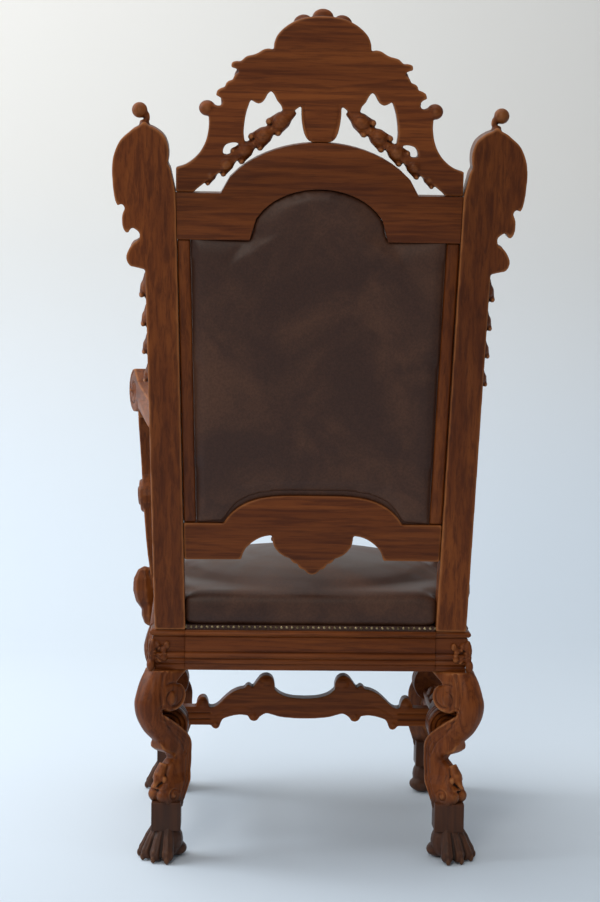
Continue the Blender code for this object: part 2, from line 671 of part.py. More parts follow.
def back_pad():
    """The leather panel, which fills the frame up into the arch."""
    edge = [(x - STRIP_WIDTH - GAP * 2, z) for x, z in side_edge(strip_low, strip_high)]
    low = [(x, lower_arch(x) + GAP * 2) for x in spaced(0, LOWER_ARCH_HALF, 12)]
    inset = INNER_ARCH_HALF - GAP * 3
    arch = [(x, inner_arch(x / inset * INNER_ARCH_HALF) - GAP * 2) for x in spaced(inset, 0, 12)]
    obj = outline("back_pad", [mirror_x(low + edge + arch)], PAD_DEPTH)
    return bevel(obj, 0.010, 1, 60)


finish(back_pad(), "back_pad", brown_leather, back_frame, (0, BACK_MIDDLE, 0))


def crest():
    """The pierced crest: shell, leaves, husk garlands and hanging drop."""
    k = CREST_HEIGHT / 0.3271
    side = post_inner(SHOULDER) - GAP * 2
    wide = side / 0.254

    def at(points):
        return [(min(x * wide, side), SHOULDER + z * k) for x, z in points]

    frame = at([(0.0226, 0.0400), (0.0226, 0.0910), (0.0256, 0.0974), (0.0334, 0.1312),
                (0.0345, 0.1565), (0.0465, 0.1480), (0.0462, 0.1368), (0.0544, 0.1228),
                (0.0738, 0.0974), (0.0851, 0.0974), (0.1102, 0.0680), (0.1150, 0.0525),
                (0.1190, 0.0626), (0.1273, 0.0708), (0.1426, 0.0426), (0.1539, 0.0273),
                (0.1667, 0.0398), (0.1979, 0.0186), (0.2121, 0.0186), (0.2291, 0.0016),
                (0.2400, -0.0182), (0.2545, -0.0182), (0.2545, 0.0440), (0.2352, 0.0511),
                (0.2154, 0.0680), (0.2028, 0.0904), (0.1975, 0.1157), (0.1990, 0.1376),
                (0.1985, 0.1520), (0.1822, 0.1540), (0.1696, 0.1605), (0.1839, 0.1716), (0.1783, 0.1827),
                (0.1602, 0.1966), (0.1449, 0.2146), (0.1585, 0.2210), (0.1522, 0.2331),
                (0.1260, 0.2400), (0.1040, 0.2500), (0.0835, 0.2520), (0.0660, 0.2740),
                (0.0500, 0.3010), (0.0240, 0.3200)])
    large = at([(0.0894, 0.1808), (0.0778, 0.1619), (0.0691, 0.1480), (0.0999, 0.1298),
                (0.0940, 0.1200), (0.1109, 0.1115), (0.1335, 0.1045), (0.1351, 0.1200),
                (0.1326, 0.1425), (0.1259, 0.1647), (0.1174, 0.1619), (0.1074, 0.1596),
                (0.0991, 0.1703)])
    small = at([(0.1700, 0.0755), (0.1668, 0.0904), (0.1447, 0.0946), (0.1395, 0.0885)])
    loops = [mirror_x(frame), large, [(-x, z) for x, z in large], small, [(-x, z) for x, z in small]]
    obj = outline("crest", loops, CREST_DEPTH)
    face = -CREST_DEPTH / 2
    hub = SHOULDER + 0.168 * k
    parts = []
    for degrees, reach, size in ((90, 0.157, 0.0175), (75, 0.151, 0.0155), (62.5, 0.137, 0.0150),
                                 (50, 0.124, 0.0145), (36, 0.132, 0.0140)):
        for sign in (-1, 1) if degrees < 90 else (1,):
            a = math.radians(degrees)
            rib = taper((0.022 * k, 0, 0), (reach * k, 0, 0), 0.0055, size, 0.010 / 0.016, 5)
            place = Matrix.Translation((0, face, hub)) @ Matrix.Diagonal((sign, 1, 1, 1))
            rib.data.transform(place @ Matrix.Rotation(-a, 4, "Y"))
            if sign < 0:
                rib.data.flip_normals()
            parts.append(rib)
    parts.append(boss(0, hub, 0.026 * k, 0.026 * k, face, 0.016))
    parts.append(boss(0, SHOULDER + 0.117 * k, 0.024, 0.036 * k, face, 0.011))
    for sign in (-1, 1):
        for x, z, size in ((0.0721, 0.1262, 1.0), (0.1106, 0.0930, 1.0), (0.1511, 0.0630, 1.0),
                           (0.1867, 0.0400, 0.95), (0.2200, 0.0190, 0.7)):
            angle = -41 if sign > 0 else 180 + 41
            parts.append(husk(sign * x * wide, SHOULDER + z * k, 0.052, 0.0160, 0.0175, angle, size))
        parts.append(ball((sign * 0.2055 * wide, 0, SHOULDER + 0.1500 * k), (0.0150, 0.0160, 0.0135),
                          0, "Y", 8, 6))
        parts.append(boss(sign * 0.160 * wide, SHOULDER + 0.140 * k, 0.014, 0.042 * k, face, 0.008,
                          sign * 0.35))
        parts.append(boss(sign * 0.189 * wide, SHOULDER + 0.090 * k, 0.008, 0.030 * k, face, 0.007,
                          sign * 0.10))
        parts.append(boss(sign * 0.137 * wide, SHOULDER + 0.208 * k, 0.018, 0.014, face, 0.008,
                          sign * 0.5))
    union(obj, *parts)
    below = [(x, outer_arch(x) + GAP * 2) for x in spaced(0, OUTER_ARCH_HALF, 12)]
    below += [(1.0, SHOULDER + GAP * 2), (1.0, 0.0)]
    cut(obj, outline("below", [mirror_x(below + [(0.0, 0.0)])], 0.3),
        box((side, -0.2, 0), (0.6, 0.2, SHOULDER * 2)), box((-0.6, -0.2, 0), (-side, 0.2, SHOULDER * 2)))
    return obj


finish(crest(), "crest", walnut, back_frame, (0, BACK_MIDDLE, 0))


# Arms, built on the left in the throne's own axes
volute_y = -FRAME_DEPTH + ARM_OVERHANG
volute_z = ARM_TOP - ARM_VOLUTE_RISE
arm_rise = ARM_TOP - SEAT_TOP
ARM_REAR_Y = arm_rise * math.tan(LEAN) - BACK_DEPTH / math.cos(LEAN)
arm_run = ARM_REAR_Y - volute_y
ARM_REAR_X = post_middle(arm_rise / math.cos(LEAN))


def arm_x(y):
    """Sideways position of the arm's middle, which flares out toward the front."""
    share = max(0.0, (ARM_REAR_Y - y) / arm_run)
    return ARM_REAR_X + ARM_FLARE * share ** 2.2


def arm_sag(share):
    """Fall of the arm's top below its ends, from 0 at the rear to 1 at the volute."""
    return 0.012 * math.sin(math.pi * min(1.0, share)) + 0.006 * (1 - share)


def arm():
    ys = spaced(ARM_REAR_Y + 0.06, volute_y + ARM_VOLUTE_RADIUS * 0.9, 8)
    shares = [(ARM_REAR_Y - y) / arm_run for y in ys]
    top = []
    under = []
    for y, share in zip(ys, shares):
        lift = (ARM_VOLUTE_RADIUS - ARM_VOLUTE_RISE) * max(0.0, share) ** 6
        top.append((y, ARM_TOP - arm_sag(share) + lift * 0.75))
        under.append((y, ARM_TOP - ARM_THICKNESS - arm_sag(share) + 0.006 * share))
    scroll = arc(volute_y, volute_z, ARM_VOLUTE_RADIUS, 85, 335, 11)
    obj = outline("arm", [top + scroll + list(reversed(under))], ARM_WIDTH)
    obj.data.transform(Matrix.Rotation(math.pi / 2, 4, "Z"))
    bevel(obj, 0.010, 1, 60)
    roll = [ball((0, volute_y, volute_z), (ARM_WIDTH / 2 + 0.006, ARM_VOLUTE_RADIUS * 0.62,
                                           ARM_VOLUTE_RADIUS * 0.62), 0, "Y", 8, 6),
            ball((0, volute_y, volute_z), (ARM_WIDTH / 2 + 0.012, ARM_VOLUTE_RADIUS * 0.28,
                                           ARM_VOLUTE_RADIUS * 0.28), 0, "Y", 8, 4)]
    union(obj, *roll)
    reshape(obj, lambda p: (p.x + arm_x(p.y), p.y, p.z))
    x = arm_x(support_y)
    pad = box((x - ARM_WIDTH * 0.42, support_y - 0.026, arm_pad), (x + ARM_WIDTH * 0.42, support_y + 0.026,
                                                                  ARM_TOP - ARM_THICKNESS * 0.6))
    union(obj, bevel(pad, 0.002, 1))
    behind = box((0, -BACK_DEPTH - GAP, -0.3), (0.6, 0.4, SHOULDER))
    behind.data.transform(BACK_MATRIX)
    return cut(obj, behind)


support_y = volute_y + 0.034
arm_pad = ARM_TOP - ARM_THICKNESS - ARM_PAD_DROP - 0.005

left_arm = arm()
right_arm = mirrored(left_arm, (-1, 1, 1))
finish(left_arm, "arm_left", walnut)
finish(right_arm, "arm_right", walnut)

support_top = arm_pad - GAP
support_low = SEAT_TOP + GAP
support_height = support_top - support_low


def support():
    """The carved arm support: a plinth, two opposed scrolls and a round boss between them."""
    foot = -FRAME_DEPTH + BLOCK_SIZE / 2
    h = support_height
    boss = BOSS_HEIGHT - support_low
    front = [(-0.030, -0.004), (-0.030, 0.024), (-0.012, 0.040), (0.004, 0.075), (0.012, 0.115),
             (0.010, boss - 0.040)]
    front_up = [(0.004, boss + 0.045), (-0.004, boss + 0.080), (-0.001, h - 0.050), (-0.010, h - 0.018),
                (-0.010, h)]
    rear_up = [(0.042, h), (0.042, h - 0.018), (0.034, h - 0.045), (0.026, boss + 0.075),
               (0.028, boss + 0.045)]
    rear = [(0.046, boss - 0.045), (0.050, 0.110), (0.046, 0.070), (0.034, 0.036), (0.030, 0.024),
            (0.030, -0.004)]
    middle = 0.018
    side = front + arc(middle, boss, BOSS_RADIUS, 215, 125, 5) + front_up
    side += rear_up + arc(middle, boss, BOSS_RADIUS, 55, -40, 5) + rear
    obj = outline("support", [side], SUPPORT_THICKNESS)
    obj.data.transform(Matrix.Rotation(math.pi / 2, 4, "Z"))
    for radius, proud in ((BOSS_RADIUS * 0.97, 0.007), (BOSS_RADIUS * 0.58, 0.011)):
        half = SUPPORT_THICKNESS / 2 + proud
        disc = turned("disc", [(0, half), (radius - 0.003, half), (radius, half - 0.003),
                               (radius, -half + 0.003), (radius - 0.003, -half), (0, -half)], 12)
        disc.data.transform(Matrix.Translation((0, middle, boss)) @ Matrix.Rotation(math.pi / 2, 4, "Y"))
        union(obj, disc)
    reach = arm_x(support_y) - FRONT_BLOCK_X - SUPPORT_OUTSET
    reshape(obj, lambda p: (p.x + reach * (max(p.z, 0.0) / h) ** 0.6, p.y, p.z))
    plinth = bevel(box((-0.028, -0.032, -0.003), (0.028, 0.033, 0.022)), 0.003, 1)
    union(obj, plinth)
    leaf = [ball((0.040, 0.014, -0.006), (0.030, 0.021, 0.050), 0.10, "Y", 8, 6),
            ball((0.034, 0.014, -0.052), (0.018, 0.017, 0.036), 0.0, "Y", 8, 5)]
    union(obj, *leaf)
    block_side = BLOCK_SIZE / 2 - SUPPORT_OUTSET + GAP
    cut(obj, box((-0.2, -0.1, -0.2), (block_side, 0.2, 0)))
    obj.data.transform(Matrix.Translation((FRONT_BLOCK_X + SUPPORT_OUTSET, foot, support_low)))
    return obj


left_support = support()
right_support = mirrored(left_support, (-1, 1, 1))
finish(left_support, "arm_support_left", walnut)
finish(right_support, "arm_support_right", walnut)


# Seat
def seat_pad():
    """The upholstered seat, notched round the posts and the arm supports."""
    c = SEAT_CLEARANCE
    rear = -0.004
    post_x = post_inner(0) - c
    behind = -BACK_DEPTH - 0.006 - c
    side_rear = REAR_HALF_WIDTH - 0.020
    side_front = FRONT_HALF_WIDTH - 0.020
    notch_y = -FRAME_DEPTH + BLOCK_SIZE + c + 0.012
    notch_x = FRONT_BLOCK_X + SUPPORT_OUTSET - 0.028 - c * 2
    front = -FRAME_DEPTH + 0.004
    half = [(0.0, rear), (post_x, rear), (post_x, behind), (side_rear, behind), (side_front, notch_y),
            (notch_x, notch_y - 0.001), (notch_x, front)]
    loop = half + [(-x, y) for x, y in reversed(half) if x > 0]
    obj = outline("seat_pad", [loop], SEAT_THICKNESS)
    obj.data.transform(Matrix.Rotation(-math.pi / 2, 4, "X"))
    middle_y = (rear - 0.016 + front) / 2
    crown = ball((0, middle_y, SEAT_THICKNESS / 2 - 0.005),
                 (side_rear - 0.024, (rear - front) / 2 - 0.022, SEAT_CROWN + 0.005), 0.0, "Z", 20, 8)
    return union(obj, crown)


pad = seat_pad()
finish(pad, "seat_pad", brown_leather, root, (0, 0, SEAT_TOP + GAP + SEAT_THICKNESS / 2))

# Bring the middle of the footprint to the origin
bpy.context.view_layer.update()
corners = [obj.matrix_world @ Vector(corner) for obj in throne.objects if obj.type == "MESH"
           for corner in obj.bound_box]
middle_y = (min(c.y for c in corners) + max(c.y for c in corners)) / 2
lowest = min(c.z for c in corners)
root.location = (0, -middle_y, -lowest)
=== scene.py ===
"""Dressing for the carved throne armchair: wood, leather and nails round its fixed frame."""

import math

import bmesh
import bpy
import numpy as np
from mathutils import Matrix, Vector


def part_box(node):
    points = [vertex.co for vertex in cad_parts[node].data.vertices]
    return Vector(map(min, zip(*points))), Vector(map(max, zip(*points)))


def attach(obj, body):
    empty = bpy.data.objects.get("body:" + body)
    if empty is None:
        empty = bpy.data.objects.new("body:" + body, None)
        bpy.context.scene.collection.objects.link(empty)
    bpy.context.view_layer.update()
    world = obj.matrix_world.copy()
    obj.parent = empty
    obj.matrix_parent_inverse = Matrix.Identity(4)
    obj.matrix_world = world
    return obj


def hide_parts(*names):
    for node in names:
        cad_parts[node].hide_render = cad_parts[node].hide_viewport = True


bl_info = {
    "name": "Carved Throne Armchair",
    "version": (1, 0, 0),
    "blender": (4, 5, 0),
    "location": "View3D > Sidebar > Throne",
    "description": "Dresses the carved walnut throne with its carving, leather and nails",
    "category": "Object",
}

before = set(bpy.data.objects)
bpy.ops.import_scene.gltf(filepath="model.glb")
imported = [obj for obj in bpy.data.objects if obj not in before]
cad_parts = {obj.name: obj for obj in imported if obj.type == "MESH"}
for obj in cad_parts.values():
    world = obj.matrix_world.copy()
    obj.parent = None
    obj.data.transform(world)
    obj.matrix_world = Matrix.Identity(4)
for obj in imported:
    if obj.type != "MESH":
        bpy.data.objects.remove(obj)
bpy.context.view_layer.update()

# the throne's own places, as the frame has them
SHIFT_Y = 0.2228
SEAT_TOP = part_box("rear_rail")[1][2]
LEG_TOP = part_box("rear_rail")[0][2]
LEAN = math.radians(8.0)
BACK_DEPTH = 0.045
BLOCK_SIZE = 0.067
BLOCK_X = 0.304 - BLOCK_SIZE / 2
FRONT_BLOCK_X = 0.314 - BLOCK_SIZE / 2
FRAME_DEPTH = 0.560
SIDE_SPLAY = 0.010
ANKLE_TOP = 0.113
ANKLE_LOW = 0.062
ROLL_HEIGHT = 0.251
ROLL_REACH = 0.106
LEG_DEPTH = 0.070
POST_FOOT = 0.2655
POST_SPREAD = 0.0215
POST_HALF = 0.029
LOWER_RAIL_LOW = 0.1363
LOWER_RAIL_HEIGHT = 0.0711
LOWER_ARCH_RISE = 0.0542
LOWER_ARCH_HALF = 0.167
RAIL_DEPTH = 0.034
CREST_DEPTH = 0.024
CREST_WIDER = 1.0134
HAIR = 0.0006
STRETCHER_LOW = 0.203
SHOULDER = 0.8189
OUTER_ARCH_HALF = 0.1776
OUTER_ARCH_RISE = 0.0918
BACK_PLACE = (Matrix.Translation((0, SHIFT_Y, SEAT_TOP)) @ Matrix.Rotation(-LEAN, 4, "X")
              @ Matrix.Translation((0, -BACK_DEPTH / 2, 0)))
CORNERS = {
    "rear_left": (1, 1, BLOCK_X, -BLOCK_SIZE / 2),
    "rear_right": (-1, 1, BLOCK_X, -BLOCK_SIZE / 2),
    "front_left": (1, -1, FRONT_BLOCK_X, BLOCK_SIZE / 2 - FRAME_DEPTH),
    "front_right": (-1, -1, FRONT_BLOCK_X, BLOCK_SIZE / 2 - FRAME_DEPTH),
}
NOWHERE = Matrix.Identity(4)
MOULDING_REACH = 0.0056
RAIL_THICKNESS = 0.042
MOULDING = [
    (-0.0035, 0.0), (-0.0035, 0.0090), (-0.0024, 0.0106), (-0.0034, 0.0118), (-0.0012, 0.0128), (0.0, 0.0150),
    (0.0003, 0.0176), (-0.0004, 0.0202), (-0.0022, 0.0216), (-0.0022, 0.0228), (0.0014, 0.0238), (0.0031, 0.0256),
    (0.0037, 0.0284), (0.0032, 0.0314), (0.0016, 0.0334), (-0.0018, 0.0344), (-0.0018, 0.0356), (0.0, 0.0366),
    (0.0, 0.0630), (-0.0022, 0.0640), (-0.0022, 0.0654), (0.0016, 0.0662), (0.0042, 0.0684), (0.0054, 0.0712),
    (0.0047, 0.0742), (0.0024, 0.0756), (0.0024, 0.0770)]


# Properties
class ThroneWood(bpy.types.PropertyGroup):
    # painted shade: the colour that the recesses are darkened toward
    recess_shade_colour: bpy.props.FloatVectorProperty(
        name="Recess", description="Colour of the polish left in the recesses", subtype="COLOR",
        size=3, min=0, max=1, default=(0.0075, 0.0032, 0.0020))
    body: bpy.props.FloatVectorProperty(
        name="Body", description="Main colour of the polished walnut", subtype="COLOR",
        size=3, min=0, max=1, default=(0.112, 0.0250, 0.0036))
    streak: bpy.props.FloatVectorProperty(
        name="Streak", description="Colour of the lighter figure in the grain", subtype="COLOR",
        size=3, min=0, max=1, default=(0.205, 0.0530, 0.0085))
    worn: bpy.props.FloatVectorProperty(
        name="Worn", description="Colour of the wood where hands have rubbed it", subtype="COLOR",
        size=3, min=0, max=1, default=(0.330, 0.1150, 0.0330))
    roughness: bpy.props.FloatProperty(
        name="Roughness", description="Roughness of the old polish", min=0, max=1, default=0.40)


class ThroneLeather(bpy.types.PropertyGroup):
    hide: bpy.props.FloatVectorProperty(
        name="Leather", description="Main colour of the leather", subtype="COLOR",
        size=3, min=0, max=1, default=(0.0420, 0.0150, 0.0078))
    rubbed: bpy.props.FloatVectorProperty(
        name="Rubbed", description="Colour of the leather where it has been rubbed", subtype="COLOR",
        size=3, min=0, max=1, default=(0.0800, 0.0310, 0.0150))
    crown: bpy.props.FloatProperty(
        name="Crown", description="Most that the padding may swell", subtype="DISTANCE",
        unit="LENGTH", min=0.0, max=0.03, default=0.010)
    nail_pitch: bpy.props.FloatProperty(
        name="Nail pitch", description="Distance between upholstery nails", subtype="DISTANCE",
        unit="LENGTH", min=0.006, max=0.03, default=0.0100)
    nail_radius: bpy.props.FloatProperty(
        name="Nail radius", description="Radius of a nail's domed head", subtype="DISTANCE",
        unit="LENGTH", min=0.001, max=0.005, default=0.0034)


class ThroneCarving(bpy.types.PropertyGroup):
    voxel: bpy.props.FloatProperty(
        name="Carving grain", description="Size of the smallest carved form", subtype="DISTANCE",
        unit="LENGTH", min=0.001, max=0.006, default=0.0016)
    depth: bpy.props.FloatProperty(
        name="Cut depth", description="Depth of a carver's groove", subtype="DISTANCE",
        unit="LENGTH", min=0.0, max=0.004, default=0.0019)


# Meshes and placing
def place_object(name, mesh, material, replaced=()):
    """Link a finished mesh as a piece of the throne."""
    obj = bpy.data.objects.new(name, mesh)
    bpy.context.scene.collection.objects.link(obj)
    mesh.materials.clear()
    mesh.materials.append(material)
    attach(obj, "root")
    if replaced:
        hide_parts(*replaced)
    return obj


def to_mesh(bm, name="piece"):
    mesh = bpy.data.meshes.new(name)
    bm.to_mesh(mesh)
    bm.free()
    return mesh


def node_shape(node, place=NOWHERE):
    """A merged copy of a node, in the axes of the place that it was drawn in."""
    bm = bmesh.new()
    bm.from_mesh(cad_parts[node].data)
    bmesh.ops.remove_doubles(bm, verts=bm.verts, dist=0.00002)
    bmesh.ops.transform(bm, matrix=place.inverted(), verts=bm.verts)
    return bm


def evaluated(obj):
    graph = bpy.context.evaluated_depsgraph_get()
    mesh = bpy.data.meshes.new_from_object(obj.evaluated_get(graph))
    bpy.data.objects.remove(obj, do_unlink=True)
    return mesh


def thinned(mesh, most):
    """A mesh of at most so many triangles, with the spare ones taken from its flat stretches."""
    mesh.calc_loop_triangles()
    count = len(mesh.loop_triangles)
    if count <= most:
        return mesh
    obj = bpy.data.objects.new("thin", mesh)
    bpy.context.scene.collection.objects.link(obj)
    fewer = obj.modifiers.new("Decimate", "DECIMATE")
    fewer.ratio = most / count
    thin = evaluated(obj)
    thin.shade_smooth()
    return thin


def one_skin(bm, voxel):
    """One closed skin round all the overlapping forms in a bmesh."""
    obj = bpy.data.objects.new("rough_form", to_mesh(bm))
    bpy.context.scene.collection.objects.link(obj)
    remesh = obj.modifiers.new("Remesh", "REMESH")
    remesh.mode = "VOXEL"
    remesh.voxel_size = voxel
    return evaluated(obj)


def bevelled(bm, width, segments=2, angle=30.0):
    """The shape with its sharp edges eased by a bevel."""
    sharp = [e for e in bm.edges if e.is_manifold and e.calc_face_angle(0) > math.radians(angle)]
    bmesh.ops.bevel(bm, geom=sharp, offset=width, offset_type="OFFSET", segments=segments,
                    profile=0.5, affect="EDGES", clamp_overlap=True, material=-1)
    return bm


def shaded(mesh, angle=38.0):
    mesh.shade_smooth()
    mesh.set_sharp_from_angle(angle=math.radians(angle))
    return mesh


def add_ball(bm, centre, radii, turn=0.0, axis="Y", segments=16, rings=10):
    place = Matrix.Translation(centre) @ Matrix.Rotation(turn, 4, axis) @ Matrix.Diagonal((*radii, 1))
    bmesh.ops.create_uvsphere(bm, u_segments=segments, v_segments=rings, radius=1, matrix=place)


def add_taper(bm, start, end, r_start, r_end, flat=1.0, segments=12):
    along = Vector(end) - Vector(start)
    turn = Vector((0, 0, 1)).rotation_difference(along).to_matrix().to_4x4()
    place = Matrix.Translation((Vector(start) + Vector(end)) / 2) @ Matrix.Diagonal((1, flat, 1, 1)) @ turn
    bmesh.ops.create_cone(bm, cap_ends=True, segments=segments, radius1=r_start, radius2=r_end,
                          depth=along.length, matrix=place)


def add_box(bm, low, high):
    low, high = Vector(low), Vector(high)
    place = Matrix.Translation((low + high) / 2) @ Matrix.Diagonal((*(high - low), 1))
    bmesh.ops.create_cube(bm, size=1, matrix=place)


def add_board(bm, loops, depth):
    """A flat board cut to an outline and its openings in X and Z, with its thickness along Y."""
    edges = []
    for points in loops:
        loop = [b for a, b in zip(points[-1:] + points, points) if math.dist(a, b) > 0.0004]
        verts = [bm.verts.new((x, -depth / 2, z)) for x, z in loop]
        edges += [bm.edges.new((a, b)) for a, b in zip(verts, verts[1:] + verts[:1])]
    filled = bmesh.ops.triangle_fill(bm, edges=edges, use_beauty=True, normal=(0, -1, 0))
    faces = [f for f in filled["geom"] if isinstance(f, bmesh.types.BMFace)]
    raised = bmesh.ops.extrude_face_region(bm, geom=faces)
    top = [v for v in raised["geom"] if isinstance(v, bmesh.types.BMVert)]
    bmesh.ops.translate(bm, vec=(0, depth, 0), verts=top)
    bmesh.ops.recalc_face_normals(bm, faces=bm.faces)


def add_turned(bm, profile, place, steps=40):
    """A turned solid about the place's Z axis from (radius, height) pairs."""
    verts = [bm.verts.new((r, 0, z)) for r, z in profile]
    edges = [bm.edges.new(pair) for pair in zip(verts, verts[1:])]
    bmesh.ops.spin(bm, geom=verts + edges, cent=(0, 0, 0), axis=(0, 0, 1), angle=2 * math.pi,
                   steps=steps, use_merge=True)
    made = list({v for e in edges for v in e.verts})
    reach = set(made)
    queue = list(made)
    while queue:
        for edge in queue.pop().link_edges:
            for vert in edge.verts:
                if vert not in reach:
                    reach.add(vert)
                    queue.append(vert)
    verts = list(reach)
    bmesh.ops.remove_doubles(bm, verts=verts, dist=0.00002)
    verts = [v for v in verts if v.is_valid]
    bmesh.ops.transform(bm, matrix=place, verts=verts)
    faces = list({f for v in verts for f in v.link_faces})
    bmesh.ops.recalc_face_normals(bm, faces=faces)


def ring(x, z, radius, start, end, count, wide=1.0):
    """Points on an arc in X and Z, with its angles in degrees."""
    steps = [math.radians(start + (end - start) * i / (count - 1)) for i in range(count)]
    return [(x + wide * radius * math.cos(a), z + radius * math.sin(a)) for a in steps]


def spiral(x, z, outer, inner, start, turns, wide=1.0):
    """A volute's line, winding inward; positive turns run anticlockwise."""
    count = int(abs(turns) * 22) + 2
    points = []
    for i in range(count):
        share = i / (count - 1)
        radius = outer * (inner / outer) ** share
        a = math.radians(start) + turns * 2 * math.pi * share
        points.append((x + wide * radius * math.cos(a), z + radius * math.sin(a)))
    return points


def flowing(points, sharp=(), step=0.003, closed=True):
    """A smooth line through listed points, kept sharp at the listed ones."""
    count = len(points)
    out = []
    for i in range(count if closed else count - 1):
        p1 = Vector(points[i])
        p2 = Vector(points[(i + 1) % count])
        p0 = Vector(points[i - 1]) if (closed or i > 0) and i not in sharp else p1
        after = (i + 1) % count
        p3 = Vector(points[(i + 2) % count]) if (closed or i + 2 < count) and after not in sharp else p2
        pieces = max(1, round((p2 - p1).length / step))
        for j in range(pieces):
            t = j / pieces
            slope_1 = (p2 - p0) / 2
            slope_2 = (p3 - p1) / 2
            out.append(tuple((2 * t ** 3 - 3 * t ** 2 + 1) * p1 + (t ** 3 - 2 * t ** 2 + t) * slope_1
                             + (3 * t ** 2 - 2 * t ** 3) * p2 + (t ** 3 - t ** 2) * slope_2))
    if not closed:
        out.append(tuple(points[-1]))
    return out


def drawn(points, step=0.003, closed=True):
    """A smooth line through (x, z) points, kept sharp at each point that has a third number."""
    sharp = {i for i, point in enumerate(points) if len(point) > 2}
    return flowing([point[:2] for point in points], sharp, step, closed)


def both_sides(points):
    """A whole outline from its right half, which starts and ends on the middle line."""
    return points + [(-x, z) for x, z in reversed(points) if x > 0.00001]


# Carving: rules that move the points of a dense skin
class Skin:
    """The points of a dense mesh, held as arrays while they are carved."""

    def __init__(self, mesh):
        self.mesh = mesh
        self.count = len(mesh.vertices)
        self.co = np.empty(self.count * 3, dtype=np.float32)
        mesh.vertices.foreach_get("co", self.co)
        self.co = self.co.reshape(-1, 3).astype(np.float64)
        edges = np.empty(len(mesh.edges) * 2, dtype=np.int32)
        mesh.edges.foreach_get("vertices", edges)
        self.edges = edges.reshape(-1, 2)

    def store(self):
        self.mesh.vertices.foreach_set("co", self.co.astype(np.float32).ravel())
        self.mesh.update()

    def normals(self):
        self.store()
        normals = np.empty(self.count * 3, dtype=np.float32)
        self.mesh.vertex_normals.foreach_get("vector", normals)
        return normals.reshape(-1, 3).astype(np.float64)

    def averages(self, values, use=None):
        """The mean of each point's neighbours, of those in use alone where that is given."""
        a, b = self.edges[:, 0], self.edges[:, 1]
        if use is not None:
            keep = use[a] & use[b]
            a, b = a[keep], b[keep]
        weight = np.bincount(a, minlength=self.count) + np.bincount(b, minlength=self.count)
        total = np.stack([np.bincount(a, values[b, i], minlength=self.count)
                          + np.bincount(b, values[a, i], minlength=self.count)
                          for i in range(values.shape[1])], axis=1)
        alone = weight == 0
        total[alone] = values[alone]
        weight[alone] = 1
        return total / weight[:, None]

    def relax(self, steps, share=0.5, use=None, axes=(0, 1, 2)):
        """Smooth the skin, without the shrinking that plain smoothing brings."""
        axes = list(axes)
        for step in range(steps):
            for pull in (share, -share * 1.04):
                moved = self.averages(self.co[:, axes], use)
                self.co[:, axes] += pull * (moved - self.co[:, axes])

    def soften(self, steps, share=0.5):
        for step in range(steps):
            self.co += share * (self.averages(self.co) - self.co)

    def fair_outline(self, steps=14):
        """Smooth a board's cut edges in its own plane, and leave its faces and corners crisp."""
        walls = np.abs(self.normals()[:, 1]) < 0.80
        self.relax(steps, 0.6, walls, (0, 2))

    def press(self, amount):
        """Move every point along its normal by its own amount."""
        self.co += self.normals() * amount[:, None]

    def cut(self, lines, width, depth, offset=0.0, side=0, facing=0.35):
        """Cut a groove along lines in X and Z, or raise a bead where depth is negative."""
        normals = self.normals()
        flat = self.co[:, [0, 2]]
        amount = np.zeros(self.count)
        for line in lines:
            away = np.abs(distance(flat, line, offset + 3 * width) - offset)
            amount = np.maximum(amount, np.exp(-(away / width) ** 2))
        faces = np.clip((np.abs(normals[:, 1]) - facing) / (1 - facing), 0, 1)
        if side:
            faces = faces * (np.sign(normals[:, 1]) == side)
        self.co[:, 1] -= np.sign(normals[:, 1]) * amount * faces * depth

    def wear_and_shade(self, most):
        """Store how proud each point stands of the skin around it, for the rubbed wear on proud parts and the
        painted shade in recesses, and thin the mesh.
        """
        normals = self.normals()
        kept = self.co.copy()
        near = np.zeros(self.count)
        for steps, scale, gain in ((3, 0.00022, 0.5), (14, 0.0011, 0.5)):
            self.co = kept.copy()
            self.soften(steps, 0.6)
            near += gain * np.clip(np.sum((kept - self.co) * normals, axis=1) / scale, -1.6, 1.6)
        self.co = kept
        for step in range(2):
            near = self.averages(near[:, None])[:, 0]
        layer = self.mesh.attributes.new("wear_and_shade", "FLOAT", "POINT")
        layer.data.foreach_set("value", near.astype(np.float32))
        self.store()
        return thinned(self.mesh, most)


def distance(flat, line, reach):
    """How far points lie from a line of points in the same plane, told only within the reach."""
    best = np.full(len(flat), reach * 4)
    line = np.array(line)
    inside = np.nonzero(np.all((flat > line.min(axis=0) - reach) & (flat < line.max(axis=0) + reach), axis=1))[0]
    close = flat[inside]
    nearest = best[inside]
    for a, b in zip(line, line[1:]):
        along = b - a
        length = along @ along
        if length < 1e-12:
            continue
        size = abs(along) / 2 + reach
        away = abs(close - (a + b) / 2)
        some = np.nonzero((away[:, 0] < size[0]) & (away[:, 1] < size[1]))[0]
        offset = close[some] - a
        share = np.clip((offset @ along) / length, 0, 1)
        nearest[some] = np.minimum(nearest[some], np.hypot(*(offset - share[:, None] * along).T))
    best[inside] = nearest
    return best


def put(mesh, place, flip=False):
    """Bring a mesh from its own axes to the throne's, turned right side out if it was mirrored."""
    mesh.transform(place)
    if flip:
        mesh.flip_normals()
    return mesh


# Materials
def new_group(name, inputs, outputs):
    tree = bpy.data.node_groups.new(name, "ShaderNodeTree")
    for label, kind, value in inputs:
        socket = tree.interface.new_socket(name=label, in_out="INPUT", socket_type=kind)
        if value is not None:
            socket.default_value = value
    for label, kind in outputs:
        tree.interface.new_socket(name=label, in_out="OUTPUT", socket_type=kind)
    start = tree.nodes.new("NodeGroupInput")
    end = tree.nodes.new("NodeGroupOutput")
    return tree, start, end


